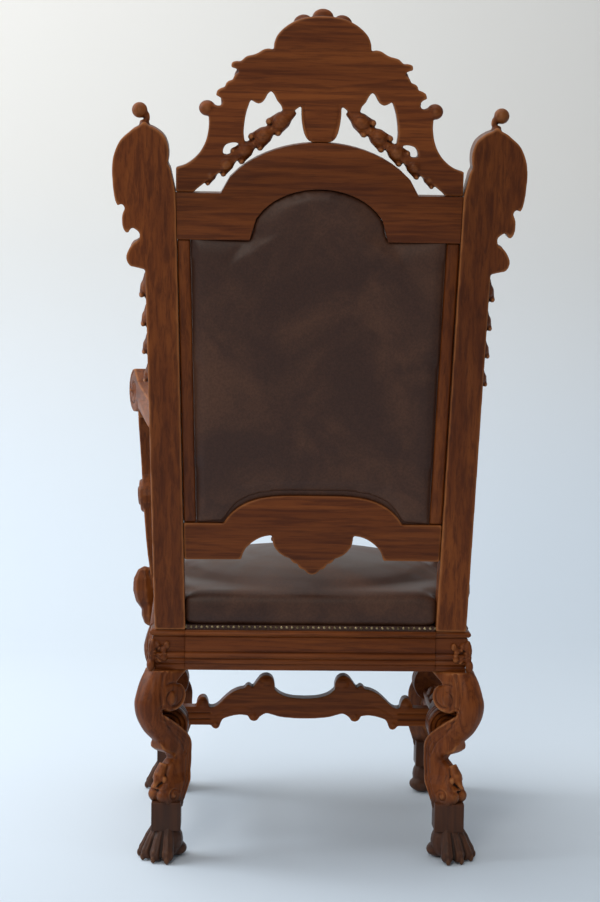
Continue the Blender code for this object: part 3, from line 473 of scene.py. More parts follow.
def noise(tree, vector, scale, detail=4.0, rough=0.55, distort=0.0):
    node = tree.nodes.new("ShaderNodeTexNoise")
    node.inputs["Scale"].default_value = scale
    node.inputs["Detail"].default_value = detail
    node.inputs["Roughness"].default_value = rough
    node.inputs["Distortion"].default_value = distort
    tree.links.new(vector, node.inputs["Vector"])
    return node.outputs["Fac"]


def span(tree, value, low, high, to_low=0.0, to_high=1.0):
    node = tree.nodes.new("ShaderNodeMapRange")
    node.interpolation_type = "SMOOTHSTEP"
    node.inputs["From Min"].default_value = low
    node.inputs["From Max"].default_value = high
    node.inputs["To Min"].default_value = to_low
    node.inputs["To Max"].default_value = to_high
    tree.links.new(value, node.inputs["Value"])
    return node.outputs["Result"]


def blend(tree, fac, a, b, mode="MIX"):
    node = tree.nodes.new("ShaderNodeMix")
    node.data_type = "RGBA"
    node.blend_type = mode
    for socket, value in ((node.inputs[0], fac), (node.inputs[6], a), (node.inputs[7], b)):
        if hasattr(value, "is_output"):
            tree.links.new(value, socket)
        elif isinstance(value, (int, float)):
            socket.default_value = value
        else:
            socket.default_value = (*value, 1)
    return node.outputs[2]


def maths(tree, kind, a, b):
    node = tree.nodes.new("ShaderNodeMath")
    node.operation = kind
    for socket, value in zip(node.inputs, (a, b)):
        if hasattr(value, "is_output"):
            tree.links.new(value, socket)
        else:
            socket.default_value = value
    return node.outputs[0]


def walnut_group():
    """Walnut's figure, pores, rubbed polish and painted shade in the recesses, on coordinates that run along the
    grain.
    """
    tree, start, end = new_group(
        "walnut_figure",
        [("Grain", "NodeSocketVector", None), ("Wear_and_shade", "NodeSocketFloat", 0.0),
         ("Recess", "NodeSocketColor", (0, 0, 0, 1)), ("Body", "NodeSocketColor", (0, 0, 0, 1)),
         ("Streak", "NodeSocketColor", (0, 0, 0, 1)), ("Worn", "NodeSocketColor", (0, 0, 0, 1)),
         ("Rubbing", "NodeSocketFloat", 1.0), ("Polish", "NodeSocketFloat", 0.36)],
        [("Color", "NodeSocketColor"), ("Roughness", "NodeSocketFloat"), ("Height", "NodeSocketFloat")])
    grain = start.outputs["Grain"]
    broad = noise(tree, grain, 26.0, 3.0, 0.55, 0.8)
    fibre = noise(tree, grain, 120.0, 5.0, 0.62, 0.4)
    pores = noise(tree, grain, 420.0, 2.0, 0.5)
    patch = noise(tree, grain, 5.0, 2.0, 0.5)
    figure = maths(tree, "ADD", maths(tree, "MULTIPLY", broad, 0.62), maths(tree, "MULTIPLY", fibre, 0.38))
    streaks = span(tree, figure, 0.36, 0.72, 0.0, 0.85)
    colour = blend(tree, streaks, start.outputs["Body"], start.outputs["Streak"])
    lines = span(tree, fibre, 0.36, 0.56, 0.30, 1.0)
    colour = blend(tree, 1.0, colour, blend(tree, lines, (0.58, 0.54, 0.52), (1, 1, 1)), "MULTIPLY")
    shade = span(tree, patch, 0.30, 0.70, 0.78, 1.22)
    grey = tree.nodes.new("ShaderNodeCombineColor")
    for socket in grey.inputs:
        tree.links.new(shade, socket)
    colour = blend(tree, 1.0, colour, grey.outputs[0], "MULTIPLY")
    # painted shade: points lying below the skin around them are darkened toward the recess colour
    recess_shade = span(tree, maths(tree, "MULTIPLY", start.outputs["Wear_and_shade"], -1.0), 0.10, 0.95, 0.0, 0.92)
    colour = blend(tree, recess_shade, colour, start.outputs["Recess"])
    drift = maths(tree, "MULTIPLY", maths(tree, "SUBTRACT", broad, 0.5), 0.8)
    rubbed = maths(tree, "ADD", start.outputs["Wear_and_shade"], drift)
    proud = span(tree, rubbed, 0.25, 1.15, 0.0, 0.85)
    proud = maths(tree, "MULTIPLY", proud, start.outputs["Rubbing"])
    colour = blend(tree, proud, colour, start.outputs["Worn"])
    pits = span(tree, pores, 0.30, 0.46, 0.55, 1.0)
    pit_colour = tree.nodes.new("ShaderNodeCombineColor")
    for socket in pit_colour.inputs:
        tree.links.new(pits, socket)
    colour = blend(tree, 0.45, colour, pit_colour.outputs[0], "MULTIPLY")
    rough = maths(tree, "ADD", start.outputs["Polish"], span(tree, patch, 0.3, 0.7, -0.05, 0.08))
    rough = maths(tree, "ADD", rough, maths(tree, "MULTIPLY", recess_shade, 0.22))
    tree.links.new(colour, end.inputs["Color"])
    tree.links.new(rough, end.inputs["Roughness"])
    height = maths(tree, "ADD", maths(tree, "MULTIPLY", fibre, 0.6), maths(tree, "MULTIPLY", pits, 0.5))
    tree.links.new(height, end.inputs["Height"])
    return tree


def leather_group():
    """Fine hide grain with broad rubbed patches."""
    tree, start, end = new_group(
        "leather_grain",
        [("Place", "NodeSocketVector", None), ("Hide", "NodeSocketColor", (0, 0, 0, 1)),
         ("Rubbed", "NodeSocketColor", (0, 0, 0, 1)), ("Wear_and_shade", "NodeSocketFloat", 0.0)],
        [("Color", "NodeSocketColor"), ("Roughness", "NodeSocketFloat"), ("Height", "NodeSocketFloat")])
    place = start.outputs["Place"]
    cells = tree.nodes.new("ShaderNodeTexVoronoi")
    cells.feature = "SMOOTH_F1"
    cells.inputs["Scale"].default_value = 620.0
    cells.inputs["Smoothness"].default_value = 0.5
    tree.links.new(place, cells.inputs["Vector"])
    clouds = noise(tree, place, 7.0, 4.0, 0.6, 0.5)
    fine = noise(tree, place, 240.0, 3.0, 0.6)
    rubbed = maths(tree, "ADD", clouds, maths(tree, "MULTIPLY", start.outputs["Wear_and_shade"], 0.25))
    colour = blend(tree, span(tree, rubbed, 0.38, 0.72), start.outputs["Hide"], start.outputs["Rubbed"])
    speck = span(tree, fine, 0.35, 0.65, 0.85, 1.1)
    grey = tree.nodes.new("ShaderNodeCombineColor")
    for socket in grey.inputs:
        tree.links.new(speck, socket)
    colour = blend(tree, 1.0, colour, grey.outputs[0], "MULTIPLY")
    tree.links.new(colour, end.inputs["Color"])
    tree.links.new(span(tree, clouds, 0.3, 0.7, 0.40, 0.52), end.inputs["Roughness"])
    height = maths(tree, "ADD", maths(tree, "MULTIPLY", cells.outputs["Distance"], 0.7),
                   maths(tree, "MULTIPLY", fine, 0.3))
    tree.links.new(height, end.inputs["Height"])
    return tree


def material_base(name, group, bump, reach):
    mat = bpy.data.materials.new(name)
    mat.use_nodes = True
    tree = mat.node_tree
    shader = tree.nodes["Principled BSDF"]
    figure = tree.nodes.new("ShaderNodeGroup")
    figure.node_tree = group
    relief = tree.nodes.new("ShaderNodeBump")
    relief.inputs["Strength"].default_value = bump
    relief.inputs["Distance"].default_value = reach
    tree.links.new(figure.outputs["Color"], shader.inputs["Base Color"])
    tree.links.new(figure.outputs["Roughness"], shader.inputs["Roughness"])
    tree.links.new(figure.outputs["Height"], relief.inputs["Height"])
    tree.links.new(relief.outputs["Normal"], shader.inputs["Normal"])
    coords = tree.nodes.new("ShaderNodeTexCoord")
    mapping = tree.nodes.new("ShaderNodeMapping")
    tree.links.new(coords.outputs["Object"], mapping.inputs["Vector"])
    # the stored relief gives both the rubbed wear on proud parts and the painted shade in recesses
    worn = tree.nodes.new("ShaderNodeAttribute")
    worn.attribute_name = "wear_and_shade"
    tree.links.new(worn.outputs["Fac"], figure.inputs["Wear_and_shade"])
    return mat, figure, mapping, shader


def walnut(name, group, along, lighter=1.0, rubbing=1.0, darker_below=None):
    """Walnut whose grain runs along X, Y or Z, darker and greyer below a height where one is given."""
    wood = bpy.context.scene.throne_wood
    mat, figure, mapping, shader = material_base(name, group, 0.22, 0.0006)
    mapping.inputs["Scale"].default_value = [0.055 if axis == along else 1.0 for axis in "XYZ"]
    mapping.inputs["Rotation"].default_value = (0.0, 0.02, 0.015)
    mapping.inputs["Location"].default_value = (0.31, 0.17, 0.53)
    for label, colour, gain in (("Recess", wood.recess_shade_colour, 1), ("Body", wood.body, lighter),
                                ("Streak", wood.streak, lighter), ("Worn", wood.worn, 1)):
        figure.inputs[label].default_value = (*[c * gain for c in colour], 1)
    figure.inputs["Rubbing"].default_value = rubbing
    figure.inputs["Polish"].default_value = wood.roughness
    tree = mat.node_tree
    tree.links.new(mapping.outputs["Vector"], figure.inputs["Grain"])
    if darker_below:
        height = tree.nodes.new("ShaderNodeSeparateXYZ")
        coords = tree.nodes.new("ShaderNodeTexCoord")
        tree.links.new(coords.outputs["Object"], height.inputs["Vector"])
        # below the given height the colour turns darker and greyer
        share = span(tree, height.outputs["Z"], darker_below, darker_below + 0.03, 0.75, 0.0)
        mixed = blend(tree, share, figure.outputs["Color"], (0.034, 0.0215, 0.0165))
        tree.links.new(mixed, shader.inputs["Base Color"])
    shader.inputs["Specular IOR Level"].default_value = 0.17
    return mat


def leather(name, group):
    look = bpy.context.scene.throne_leather
    mat, figure, mapping, shader = material_base(name, group, 0.30, 0.0005)
    figure.inputs["Hide"].default_value = (*look.hide, 1)
    figure.inputs["Rubbed"].default_value = (*look.rubbed, 1)
    mat.node_tree.links.new(mapping.outputs["Vector"], figure.inputs["Place"])
    shader.inputs["Specular IOR Level"].default_value = 0.30
    return mat


def brass(name):
    mat = bpy.data.materials.new(name)
    mat.use_nodes = True
    tree = mat.node_tree
    shader = tree.nodes["Principled BSDF"]
    coords = tree.nodes.new("ShaderNodeTexCoord")
    tarnish = noise(tree, coords.outputs["Object"], 160.0, 3.0, 0.6)
    colour = blend(tree, span(tree, tarnish, 0.35, 0.65), (0.085, 0.055, 0.026), (0.40, 0.30, 0.17))
    tree.links.new(colour, shader.inputs["Base Color"])
    tree.links.new(span(tree, tarnish, 0.3, 0.7, 0.44, 0.26), shader.inputs["Roughness"])
    shader.inputs["Metallic"].default_value = 1.0
    return mat


FINISHES = {}


def make_finishes():
    figure = walnut_group()
    for axis, word in (("X", "across"), ("Y", "fore_and_aft"), ("Z", "upright")):
        FINISHES[axis] = walnut("walnut_" + word, figure, axis)
    # painted light: the cross stretcher's walnut is made 1.9 times lighter, standing for the light on its projecting
    # carved face
    FINISHES["stretcher"] = walnut("stretcher_walnut_across_painted_lit", figure, "X", 1.9, 1.0)
    FINISHES["bars"] = walnut("stretcher_walnut_fore_and_aft", figure, "Y", 1.2, 0.9)
    FINISHES["legs"] = walnut("walnut_legs", figure, "Z", 1.15, 1.4, 0.105)
    FINISHES["leather"] = leather("brown_leather", leather_group())
    FINISHES["brass"] = brass("aged_brass")


# Pieces
def eased_copy(node, material, width=0.0008, place=NOWHERE):
    """A plain sawn piece with its edges eased, in place of its node."""
    bm = node_shape(node, place)
    bmesh.ops.dissolve_limit(bm, verts=bm.verts, edges=bm.edges, angle_limit=math.radians(0.5))
    bevelled(bm, width, 2, 25.0)
    bmesh.ops.triangulate(bm, faces=bm.faces)
    mesh = put(to_mesh(bm, node), place)
    return place_object(node + "_board", shaded(mesh), material, (node,))


def corner_place(corner, diagonal=True):
    """Where a leg's own axes stand, and whether that place mirrors it."""
    x_sign, y_sign, x, y = CORNERS[corner]
    place = (Matrix.Translation((x * x_sign, y + SHIFT_Y, 0)) @ Matrix.Diagonal((x_sign, y_sign, 1, 1)))
    if diagonal:
        place = place @ Matrix.Rotation(math.pi / 4, 4, "Z")
    return place, x_sign * y_sign < 0


LEG_DRAWN = [
    (0.0455, 0.370), (0.0580, 0.350), (0.0680, 0.325), (0.0724, 0.306), (0.0675, 0.280), (0.0520, 0.252),
    (0.0310, 0.232), (0.0255, 0.216), (0.0120, 0.207), (-0.0040, 0.203), (-0.0090, 0.193),
    (0.0030, 0.183), (0.0130, 0.166), (0.0180, 0.151), (0.0290, 0.137)]
LEG_INNER = [(-0.028, 0.117), (-0.0365, 0.135), (-0.048, 0.163), (-0.0505, 0.201), (-0.043, 0.230),
             (-0.012, 0.258), (0.036, 0.2885)]
VOLUTE = (0.0130, 0.3185)


def leg_lines():
    """The outline of a scroll leg in its own plane, and the lines that its grooves follow."""
    foot = ring(0.005, 0.1244, 0.021, 38, -70, 5) + [(0.004, 0.098), (-0.022, 0.098)]
    volute = ring(*VOLUTE, 0.0285, -50, -250, 10, 1.22)
    shoulder = [(-0.022, 0.364), (-0.026, 0.3698)]
    points = LEG_DRAWN + foot + LEG_INNER + volute + shoulder
    first_foot = len(LEG_DRAWN)
    sharp = {0, 6, 7, 10, 14, first_foot + 5, first_foot + 6, first_foot + 6 + len(LEG_INNER),
             len(points) - 1}
    return flowing(points, sharp, 0.0025), flowing(LEG_INNER, (), 0.003, False)


def leg_half(z):
    """Half a leg's thickness at each height."""
    knee = np.clip((z - LEG_TOP + 0.170) / 0.080, 0, 1)
    foot = np.clip((ANKLE_TOP + 0.052 - z) / 0.018, 0, 1)
    return 0.0190 + 0.0130 * knee + 0.0070 * foot


def leg_skin():
    """One scroll leg with its volutes, leaf and paw, about the middle of its block."""
    outline, inner = leg_lines()
    voxel = bpy.context.scene.throne_carving.voxel
    depth = bpy.context.scene.throne_carving.depth
    bm = bmesh.new()
    add_board(bm, [outline], LEG_DEPTH)
    skin = Skin(one_skin(bm, voxel))
    skin.fair_outline(6)
    flat = skin.co[:, [0, 2]]
    outer_line = flowing(LEG_DRAWN[:7], (), 0.003, False)
    shin_line = flowing(LEG_DRAWN[10:], (), 0.003, False)
    half = leg_half(skin.co[:, 2])
    drop = np.zeros(skin.count)
    for line, soft, share in ((outline + outline[:1], 0.0065, 0.9), (outer_line, 0.034, 0.86),
                              (shin_line, 0.020, 0.70)):
        near = np.maximum(soft - distance(flat, line, soft), 0)
        height = np.minimum(half, soft)
        drop = np.maximum(drop, share * height * (1 - np.sqrt(np.maximum(1 - (near / soft) ** 2, 0))))
    skin.co[:, 1] *= (half - drop) / (LEG_DEPTH / 2)
    skin.relax(3)
    band = flowing([(0.0300, 0.3690), (0.0395, 0.3500), (0.0440, 0.3260), (0.0400, 0.2980), (0.0270, 0.2700),
                    (0.0080, 0.2480), (-0.0150, 0.2280), (-0.0300, 0.2050)], (), 0.003, False)
    skin.cut([spiral(*VOLUTE, 0.0290, 0.0120, 62, 1.05, 1.15)], 0.0023, depth * 1.7)
    skin.cut([band], 0.0030, depth * 1.9, 0.0, 0, 0.1)
    skin.cut([band], 0.0018, depth * 0.9, 0.0080, 0, 0.1)
    skin.cut([inner], 0.0024, depth * 1.6, 0.0080, 0, 0.1)
    skin.cut([inner], 0.0020, depth * 1.2, 0.0150, 0, 0.1)
    skin.store()
    bm = bmesh.new()
    for side in (-1, 1):
        add_ball(bm, (VOLUTE[0] + 0.003, side * 0.0280, VOLUTE[1] - 0.002), (0.0110, 0.0080, 0.0150))
    add_foot_scroll(bm)
    add_shin_leaf(bm)
    add_paw(bm)
    bm.from_mesh(skin.mesh)
    skin = Skin(one_skin(bm, voxel))
    skin.soften(2, 0.5)
    skin.cut([spiral(0.004, 0.1262, 0.0135, 0.0050, 160, -1.2)], 0.0015, depth * 1.2)
    toe_grooves(skin)
    return skin.wear_and_shade(58000)


def add_foot_scroll(bm):
    """The round scroll that ends the shin, with the small ball beside it."""
    turn = Matrix.Rotation(math.pi / 2, 4, "X")
    rings = [(0, 0.0270), (0.0060, 0.0270), (0.0075, 0.0245), (0.0100, 0.0240), (0.0118, 0.0265), (0.0150, 0.0265),
             (0.0165, 0.0245), (0.0165, -0.0245), (0.0150, -0.0265), (0.0118, -0.0265), (0.0100, -0.0240),
             (0.0075, -0.0245), (0.0060, -0.0270), (0, -0.0270)]
    add_turned(bm, rings, Matrix.Translation((0.004, 0, 0.1262)) @ turn, 28)
    for side in (-1, 1):
        add_ball(bm, (0.0225, side * 0.0120, 0.1250), (0.0095, 0.0120, 0.0125))


def add_shin_leaf(bm):
    """The small leaf that curls off the shin's outer side above the ball."""
    add_taper(bm, (0.009, 0, 0.184), (0.0200, 0, 0.163), 0.0070, 0.0100, 1.25)
    add_ball(bm, (0.0195, 0, 0.160), (0.0090, 0.0130, 0.0120), 0.5)
    add_taper(bm, (0.0195, 0, 0.161), (0.0340, 0, 0.1415), 0.0095, 0.0022, 1.2)
    for side in (-1, 1):
        add_ball(bm, (0.0170, side * 0.0130, 0.1555), (0.0060, 0.0045, 0.0085), 0.5)


def add_paw(bm):
    """The lion's paw: a fist of four long toes with their claws."""
    add_ball(bm, (0.001, 0, 0.036), (0.034, 0.033, 0.036))
    base = Vector((-0.007, 0, 0))
    for degrees in (-43, -15, 15, 43):
        turn = math.radians(degrees)
        along = Vector((math.cos(turn), math.sin(turn), 0))

        def at(reach, height):
            return base + along * reach + Vector((0, 0, height))

        add_taper(bm, at(0.0230, 0.062), at(0.0335, 0.040), 0.0095, 0.0122)
        add_ball(bm, at(0.0335, 0.0395), (0.0125, 0.0122, 0.0130), turn, "Z")
        add_taper(bm, at(0.0335, 0.040), at(0.0440, 0.0175), 0.0122, 0.0128)
        add_ball(bm, at(0.0440, 0.0160), (0.0140, 0.0128, 0.0150), turn, "Z")
        add_ball(bm, at(0.0560, 0.0080), (0.0052, 0.0052, 0.0080), turn, "Z")
    add_ball(bm, (-0.020, 0, 0.016), (0.022, 0.029, 0.016))


def toe_grooves(skin):
    """Clefts between the toes, fine lines along them, and a flat sole."""
    x, y, z = skin.co[:, 0] + 0.007, skin.co[:, 1], skin.co[:, 2]
    angle = np.degrees(np.arctan2(y, x))
    low = np.clip((0.062 - z) / 0.008, 0, 1) * np.clip((x - 0.018) / 0.010, 0, 1)
    amount = np.zeros(skin.count)
    for degrees in (-29, 0, 29):
        amount += np.exp(-((angle - degrees) / 3.0) ** 2)
    for degrees in (-49, -38, -20, -9, 9, 20, 38, 49):
        amount += 0.42 * np.exp(-((angle - degrees) / 1.7) ** 2) * (z > 0.018)
    skin.press(-amount * low * 0.0024)
    skin.co[:, 2] = np.maximum(skin.co[:, 2], 0.0)


def add_block(bm):
    """The moulded block over a leg, drawn up in rings from its underside."""
    half = BLOCK_SIZE / 2
    reach = half - MOULDING_REACH
    low = reach + MOULDING[0][0]
    verts = [bm.verts.new((x, y, LEG_TOP)) for x, y in ((-half, -half), (low, -half), (low, low), (-half, low))]
    face = bm.faces.new(verts)
    for offset, z in MOULDING[1:]:
        raised = bmesh.ops.extrude_face_region(bm, geom=[face])
        face = next(f for f in raised["geom"] if isinstance(f, bmesh.types.BMFace))
        for vert in face.verts:
            vert.co.z = LEG_TOP + z
            if vert.co.x > 0:
                vert.co.x = reach + offset
            if vert.co.y > 0:
                vert.co.y = reach + offset
    bmesh.ops.recalc_face_normals(bm, faces=bm.faces)


def corner_leaf_skin():
    """The carved leaf that wraps the block's outer corner, in the leg's diagonal plane."""
    bm = bmesh.new()
    middle = LEG_TOP + 0.036
    add_ball(bm, (0.0395, 0, middle), (0.0085, 0.0090, 0.024))
    for side in (-1, 1):
        for reach, rise, length in ((0.0075, 0.012, 0.0105), (0.0150, 0.002, 0.0125), (0.0090, -0.012, 0.0100)):
            add_ball(bm, (0.0400 - reach * 0.93, side * reach, middle + rise), (0.0058, length * 0.55, length),
                     side * 0.55, "X")
        add_ball(bm, (0.0255, side * 0.0175, middle - 0.012), (0.0062, 0.0062, 0.0068))
        add_ball(bm, (0.0230, side * 0.0205, middle + 0.012), (0.0050, 0.0070, 0.0075))
    add_ball(bm, (0.0440, 0, LEG_TOP + 0.010), (0.0070, 0.0085, 0.013))
    skin = Skin(one_skin(bm, 0.0012))
    skin.soften(2, 0.5)
    flat = np.stack([skin.co[:, 1], skin.co[:, 2]], axis=1)
    amount = np.zeros(skin.count)
    for side in (-1, 1):
        for end in ((0.020, 0.018), (0.026, 0.000), (0.020, -0.018)):
            line = [(side * 0.002, middle - 0.004), (side * end[0], middle + end[1])]
            amount = np.maximum(amount, np.exp(-(distance(flat, line, 0.005) / 0.0011) ** 2))
    rib = [(0, middle - 0.02), (0, middle + 0.02)]
    amount = np.maximum(amount, np.exp(-(distance(flat, rib, 0.005) / 0.001) ** 2))
    skin.press(-0.0016 * amount)
    return skin.wear_and_shade(6000)


ROLL_LENGTH = 0.058
ROLL = [
    (0, ROLL_LENGTH - 0.004), (0.0060, ROLL_LENGTH - 0.002), (0.0085, ROLL_LENGTH - 0.005),
    (0.0110, ROLL_LENGTH - 0.0015), (0.0145, ROLL_LENGTH - 0.0015), (0.0165, ROLL_LENGTH - 0.0055),
    (0.0185, ROLL_LENGTH - 0.0015), (0.0225, ROLL_LENGTH - 0.0010), (0.0248, ROLL_LENGTH - 0.0060),
    (0.0270, ROLL_LENGTH - 0.0015), (0.0310, ROLL_LENGTH - 0.0010), (0.0335, ROLL_LENGTH - 0.0060),
    (0.0358, ROLL_LENGTH - 0.0020), (0.0388, ROLL_LENGTH - 0.0040), (0.0400, ROLL_LENGTH - 0.0100),
    (0.0400, 0.034), (0.0380, 0.030), (0.0400, 0.026), (0.0400, 0.018), (0.0380, 0.014),
    (0.0400, 0.010), (0.0398, 0.002), (0.0385, 0), (0, 0)]


class THRONE_OT_legs(bpy.types.Operator):
    """Carve the four scroll legs with their paws, blocks and rolls"""
    bl_idname = "throne.legs"
    bl_label = "Legs"

    def execute(self, context):
        shape = leg_skin()
        leaf = corner_leaf_skin()
        for corner in CORNERS:
            end, side = corner.split("_")
            node = f"{end}_leg_{side}"
            place, flip = corner_place(corner)
            place_object(f"{node}_scroll", put(shape.copy(), place, flip), FINISHES["legs"], (node,))
            place_object(f"{node}_corner_leaf", put(leaf.copy(), place, flip), FINISHES["Z"])
            square, flip = corner_place(corner, False)
            bm = bmesh.new()
            add_block(bm)
            bevelled(bm, 0.0009, 2, 40.0)
            place_object(f"{node}_block", shaded(put(to_mesh(bm), square, flip), 30.0), FINISHES["X"])
            bm = bmesh.new()
            add_box(bm, (-0.028, -0.028, ANKLE_LOW - 0.004), (0.028, 0.028, ANKLE_TOP))
            bevelled(bm, 0.0016, 3, 40.0)
            place_object(f"{node}_ankle", shaded(put(to_mesh(bm), square, flip)), FINISHES["legs"])
            bm = bmesh.new()
            seat = Matrix.Translation((0, BLOCK_SIZE / 2 - ROLL_REACH, ROLL_HEIGHT))
            add_turned(bm, ROLL, seat @ Matrix.Rotation(-math.pi / 2, 4, "X"), 56)
            place_object(f"{node}_roll", shaded(put(to_mesh(bm), square, flip)), FINISHES["Y"])
        return {"FINISHED"}


class THRONE_OT_seat_frame(bpy.types.Operator):
    """Run the seat rails' mouldings"""
    bl_idname = "throne.seat_frame"
    bl_label = "Seat frame"

    def execute(self, context):
        for node, x_sign, y_sign in (("rear_rail", 0, 1), ("front_rail", 0, -1),
                                     ("side_rail_left", 1, 0), ("side_rail_right", -1, 0)):
            low, high = [Vector(corner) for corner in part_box(node)]
            bm = bmesh.new()
            ends = []
            for share in (0, 1):
                section = []
                for offset, z in MOULDING + [(-RAIL_THICKNESS, 0.077), (-RAIL_THICKNESS, 0.0)]:
                    out = offset - MOULDING_REACH
                    if y_sign:
                        x = low.x + share * (high.x - low.x)
                        y = high.y + out if y_sign > 0 else low.y - out
                    else:
                        y = low.y + share * (high.y - low.y)
                        x = high.x - SIDE_SPLAY * share + out if x_sign > 0 else low.x + SIDE_SPLAY * share - out
                    section.append(bm.verts.new((x, y, LEG_TOP + z)))
                ends.append(section)
                bm.faces.new(section)
            for i in range(len(ends[0])):
                bm.faces.new((ends[0][i], ends[1][i], ends[1][i - 1], ends[0][i - 1]))
            bmesh.ops.recalc_face_normals(bm, faces=bm.faces)
            bevelled(bm, 0.0004, 2, 40.0)
            place_object(node + "_board", shaded(to_mesh(bm), 32.0), FINISHES["X" if y_sign else "Y"], (node,))
        return {"FINISHED"}


STRETCHER_TOP = [
    (0.0, 0.0555), (0.0280, 0.0575), (0.0480, 0.0640), (0.0610, 0.0740, 1), (0.0612, 0.0850), (0.0660, 0.0975),
    (0.0770, 0.1035), (0.0890, 0.1000), (0.0990, 0.0880), (0.1060, 0.0770, 1), (0.1100, 0.0815),
    (0.1150, 0.0830), (0.1200, 0.0800), (0.1230, 0.0755, 1), (0.1345, 0.0735), (0.1500, 0.0660),
    (0.1640, 0.0540), (0.1760, 0.0420), (0.1850, 0.0368), (0.1945, 0.0366, 1), (0.1962, 0.0470),
    (0.2010, 0.0560), (0.2075, 0.0580), (0.2145, 0.0550), (0.2190, 0.0470), (0.2205, 0.0372, 1)]
STRETCHER_UNDER = [
    (0.1902, 0.0, 1), (0.1870, -0.0050), (0.1815, -0.0078), (0.1745, -0.0060), (0.1715, 0.0010, 1), (0.1660, 0.0120),
    (0.1540, 0.0170), (0.1400, 0.0205), (0.1270, 0.0212), (0.1150, 0.0195, 1), (0.1110, 0.0120), (0.1040, 0.0085),
    (0.0960, 0.0105), (0.0915, 0.0170, 1), (0.0790, 0.0245), (0.0640, 0.0215), (0.0495, 0.0175),
    (0.0250, 0.0150), (0.0, 0.0142)]


class THRONE_OT_stretchers(bpy.types.Operator):
    """Carve the cross stretcher and ease the moulded bars beside it"""
    bl_idname = "throne.stretchers"
    bl_label = "Stretchers"

    def execute(self, context):
        low = Vector(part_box("cross_stretcher")[0])
        high = Vector(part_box("cross_stretcher")[1])
        depth = context.scene.throne_carving.depth
        reach = high.x
        place = Matrix.Translation((0, (low.y + high.y) / 2, STRETCHER_LOW))
        half = drawn(STRETCHER_TOP + [(reach, 0.0370, 1), (reach, 0.0, 1)] + STRETCHER_UNDER, 0.003, False)
        bm = bmesh.new()
        add_board(bm, [both_sides(half)], 0.034)
        for sign in (-1, 1):
            for side in (-1, 1):
                add_ball(bm, (sign * 0.078, side * 0.012, 0.0880), (0.0150, 0.0090, 0.0150))
                add_ball(bm, (sign * 0.2075, side * 0.010, 0.0450), (0.0115, 0.0110, 0.0130))
                add_ball(bm, (sign * 0.1810, side * 0.010, 0.0020), (0.0085, 0.0105, 0.0085))
                add_ball(bm, (sign * 0.1040, side * 0.010, 0.0180), (0.0100, 0.0100, 0.0090))
        skin = Skin(one_skin(bm, 0.0015))
        skin.fair_outline(8)
        skin.soften(4, 0.5)
        ends = [[(sign * 0.192, z), (sign * (reach + 0.01), z)] for sign in (-1, 1) for z in (0.0125, 0.0250)]
        skin.cut(ends, 0.0019, depth * 1.3)
        rims = []
        for sign in (-1, 1):
            rims.append([(sign * x, z) for x, z in drawn(
                [(0.0680, 0.0560), (0.0760, 0.0660), (0.0880, 0.0700), (0.1000, 0.0640)], 0.003, False)])
            rims.append([(sign * x, z) for x, z in drawn(
                [(0.1080, 0.0350), (0.1300, 0.0400), (0.1560, 0.0360), (0.1800, 0.0200)], 0.003, False)])
            rims.append([(sign * x, z) for x, z in drawn(
                [(0.0940, 0.0300), (0.1200, 0.0540), (0.1500, 0.0500), (0.1780, 0.0300)], 0.003, False)])
        skin.cut(rims, 0.0022, depth * 1.0, 0.0, -1)
        skin.cut(rims[1:2] + rims[4:5], 0.0026, depth * 0.35, 0.0, 1)
        place_object("cross_stretcher_carving", put(skin.wear_and_shade(45000), place), FINISHES["stretcher"],
                     ("cross_stretcher",))
        for side in ("left", "right"):
            node = f"side_stretcher_{side}"
            skin = Skin(one_skin(node_shape(node), 0.0018))
            skin.soften(3, 0.5)
            place_object(f"{node}_carving", skin.wear_and_shade(20000), FINISHES["bars"], (node,))
        return {"FINISHED"}


EAR = [
    (-0.0194, 0.0440, 1), (-0.0150, 0.0520), (-0.0168, 0.0660), (-0.0150, 0.0840), (-0.0070, 0.1010),
    (0.0090, 0.1130), (0.0215, 0.1180, 1), (0.0300, 0.1245), (0.0375, 0.1180, 1), (0.0500, 0.1120, 1),
    (0.0575, 0.1060), (0.0750, 0.0905), (0.0865, 0.0665), (0.0900, 0.0440), (0.0893, 0.0186), (0.0868, -0.0040),
    (0.0835, -0.0180), (0.0790, -0.0255, 1), (0.0745, -0.0215), (0.0700, -0.0225, 1), (0.0660, -0.0290, 1),
    (0.0712, -0.0420), (0.0708, -0.0600), (0.0660, -0.0710), (0.0600, -0.0735, 1), (0.0550, -0.0650),
    (0.0494, -0.0645, 1), (0.0440, -0.0680), (0.0385, -0.0735), (0.0390, -0.0850, 1), (0.0470, -0.0890),
    (0.0565, -0.0990), (0.0635, -0.1134), (0.0620, -0.1250), (0.0560, -0.1325), (0.0470, -0.1345, 1)]
PENDANT = [
    (0.0, -0.0275, 1), (0.0065, -0.0262), (0.0125, -0.0205), (0.0165, -0.0170, 1), (0.0205, -0.0165),
    (0.0250, -0.0130), (0.0275, -0.0065, 1), (0.0325, -0.0060), (0.0385, -0.0020), (0.0410, 0.0035, 1),
    (0.0520, 0.0075), (0.0640, 0.0160), (0.0735, 0.0300), (0.0757, 0.0480, 1), (0.0865, 0.0470), (0.1000, 0.0425),
    (0.1150, 0.0325), (0.1270, 0.0190), (0.1335, 0.0010, 1)]
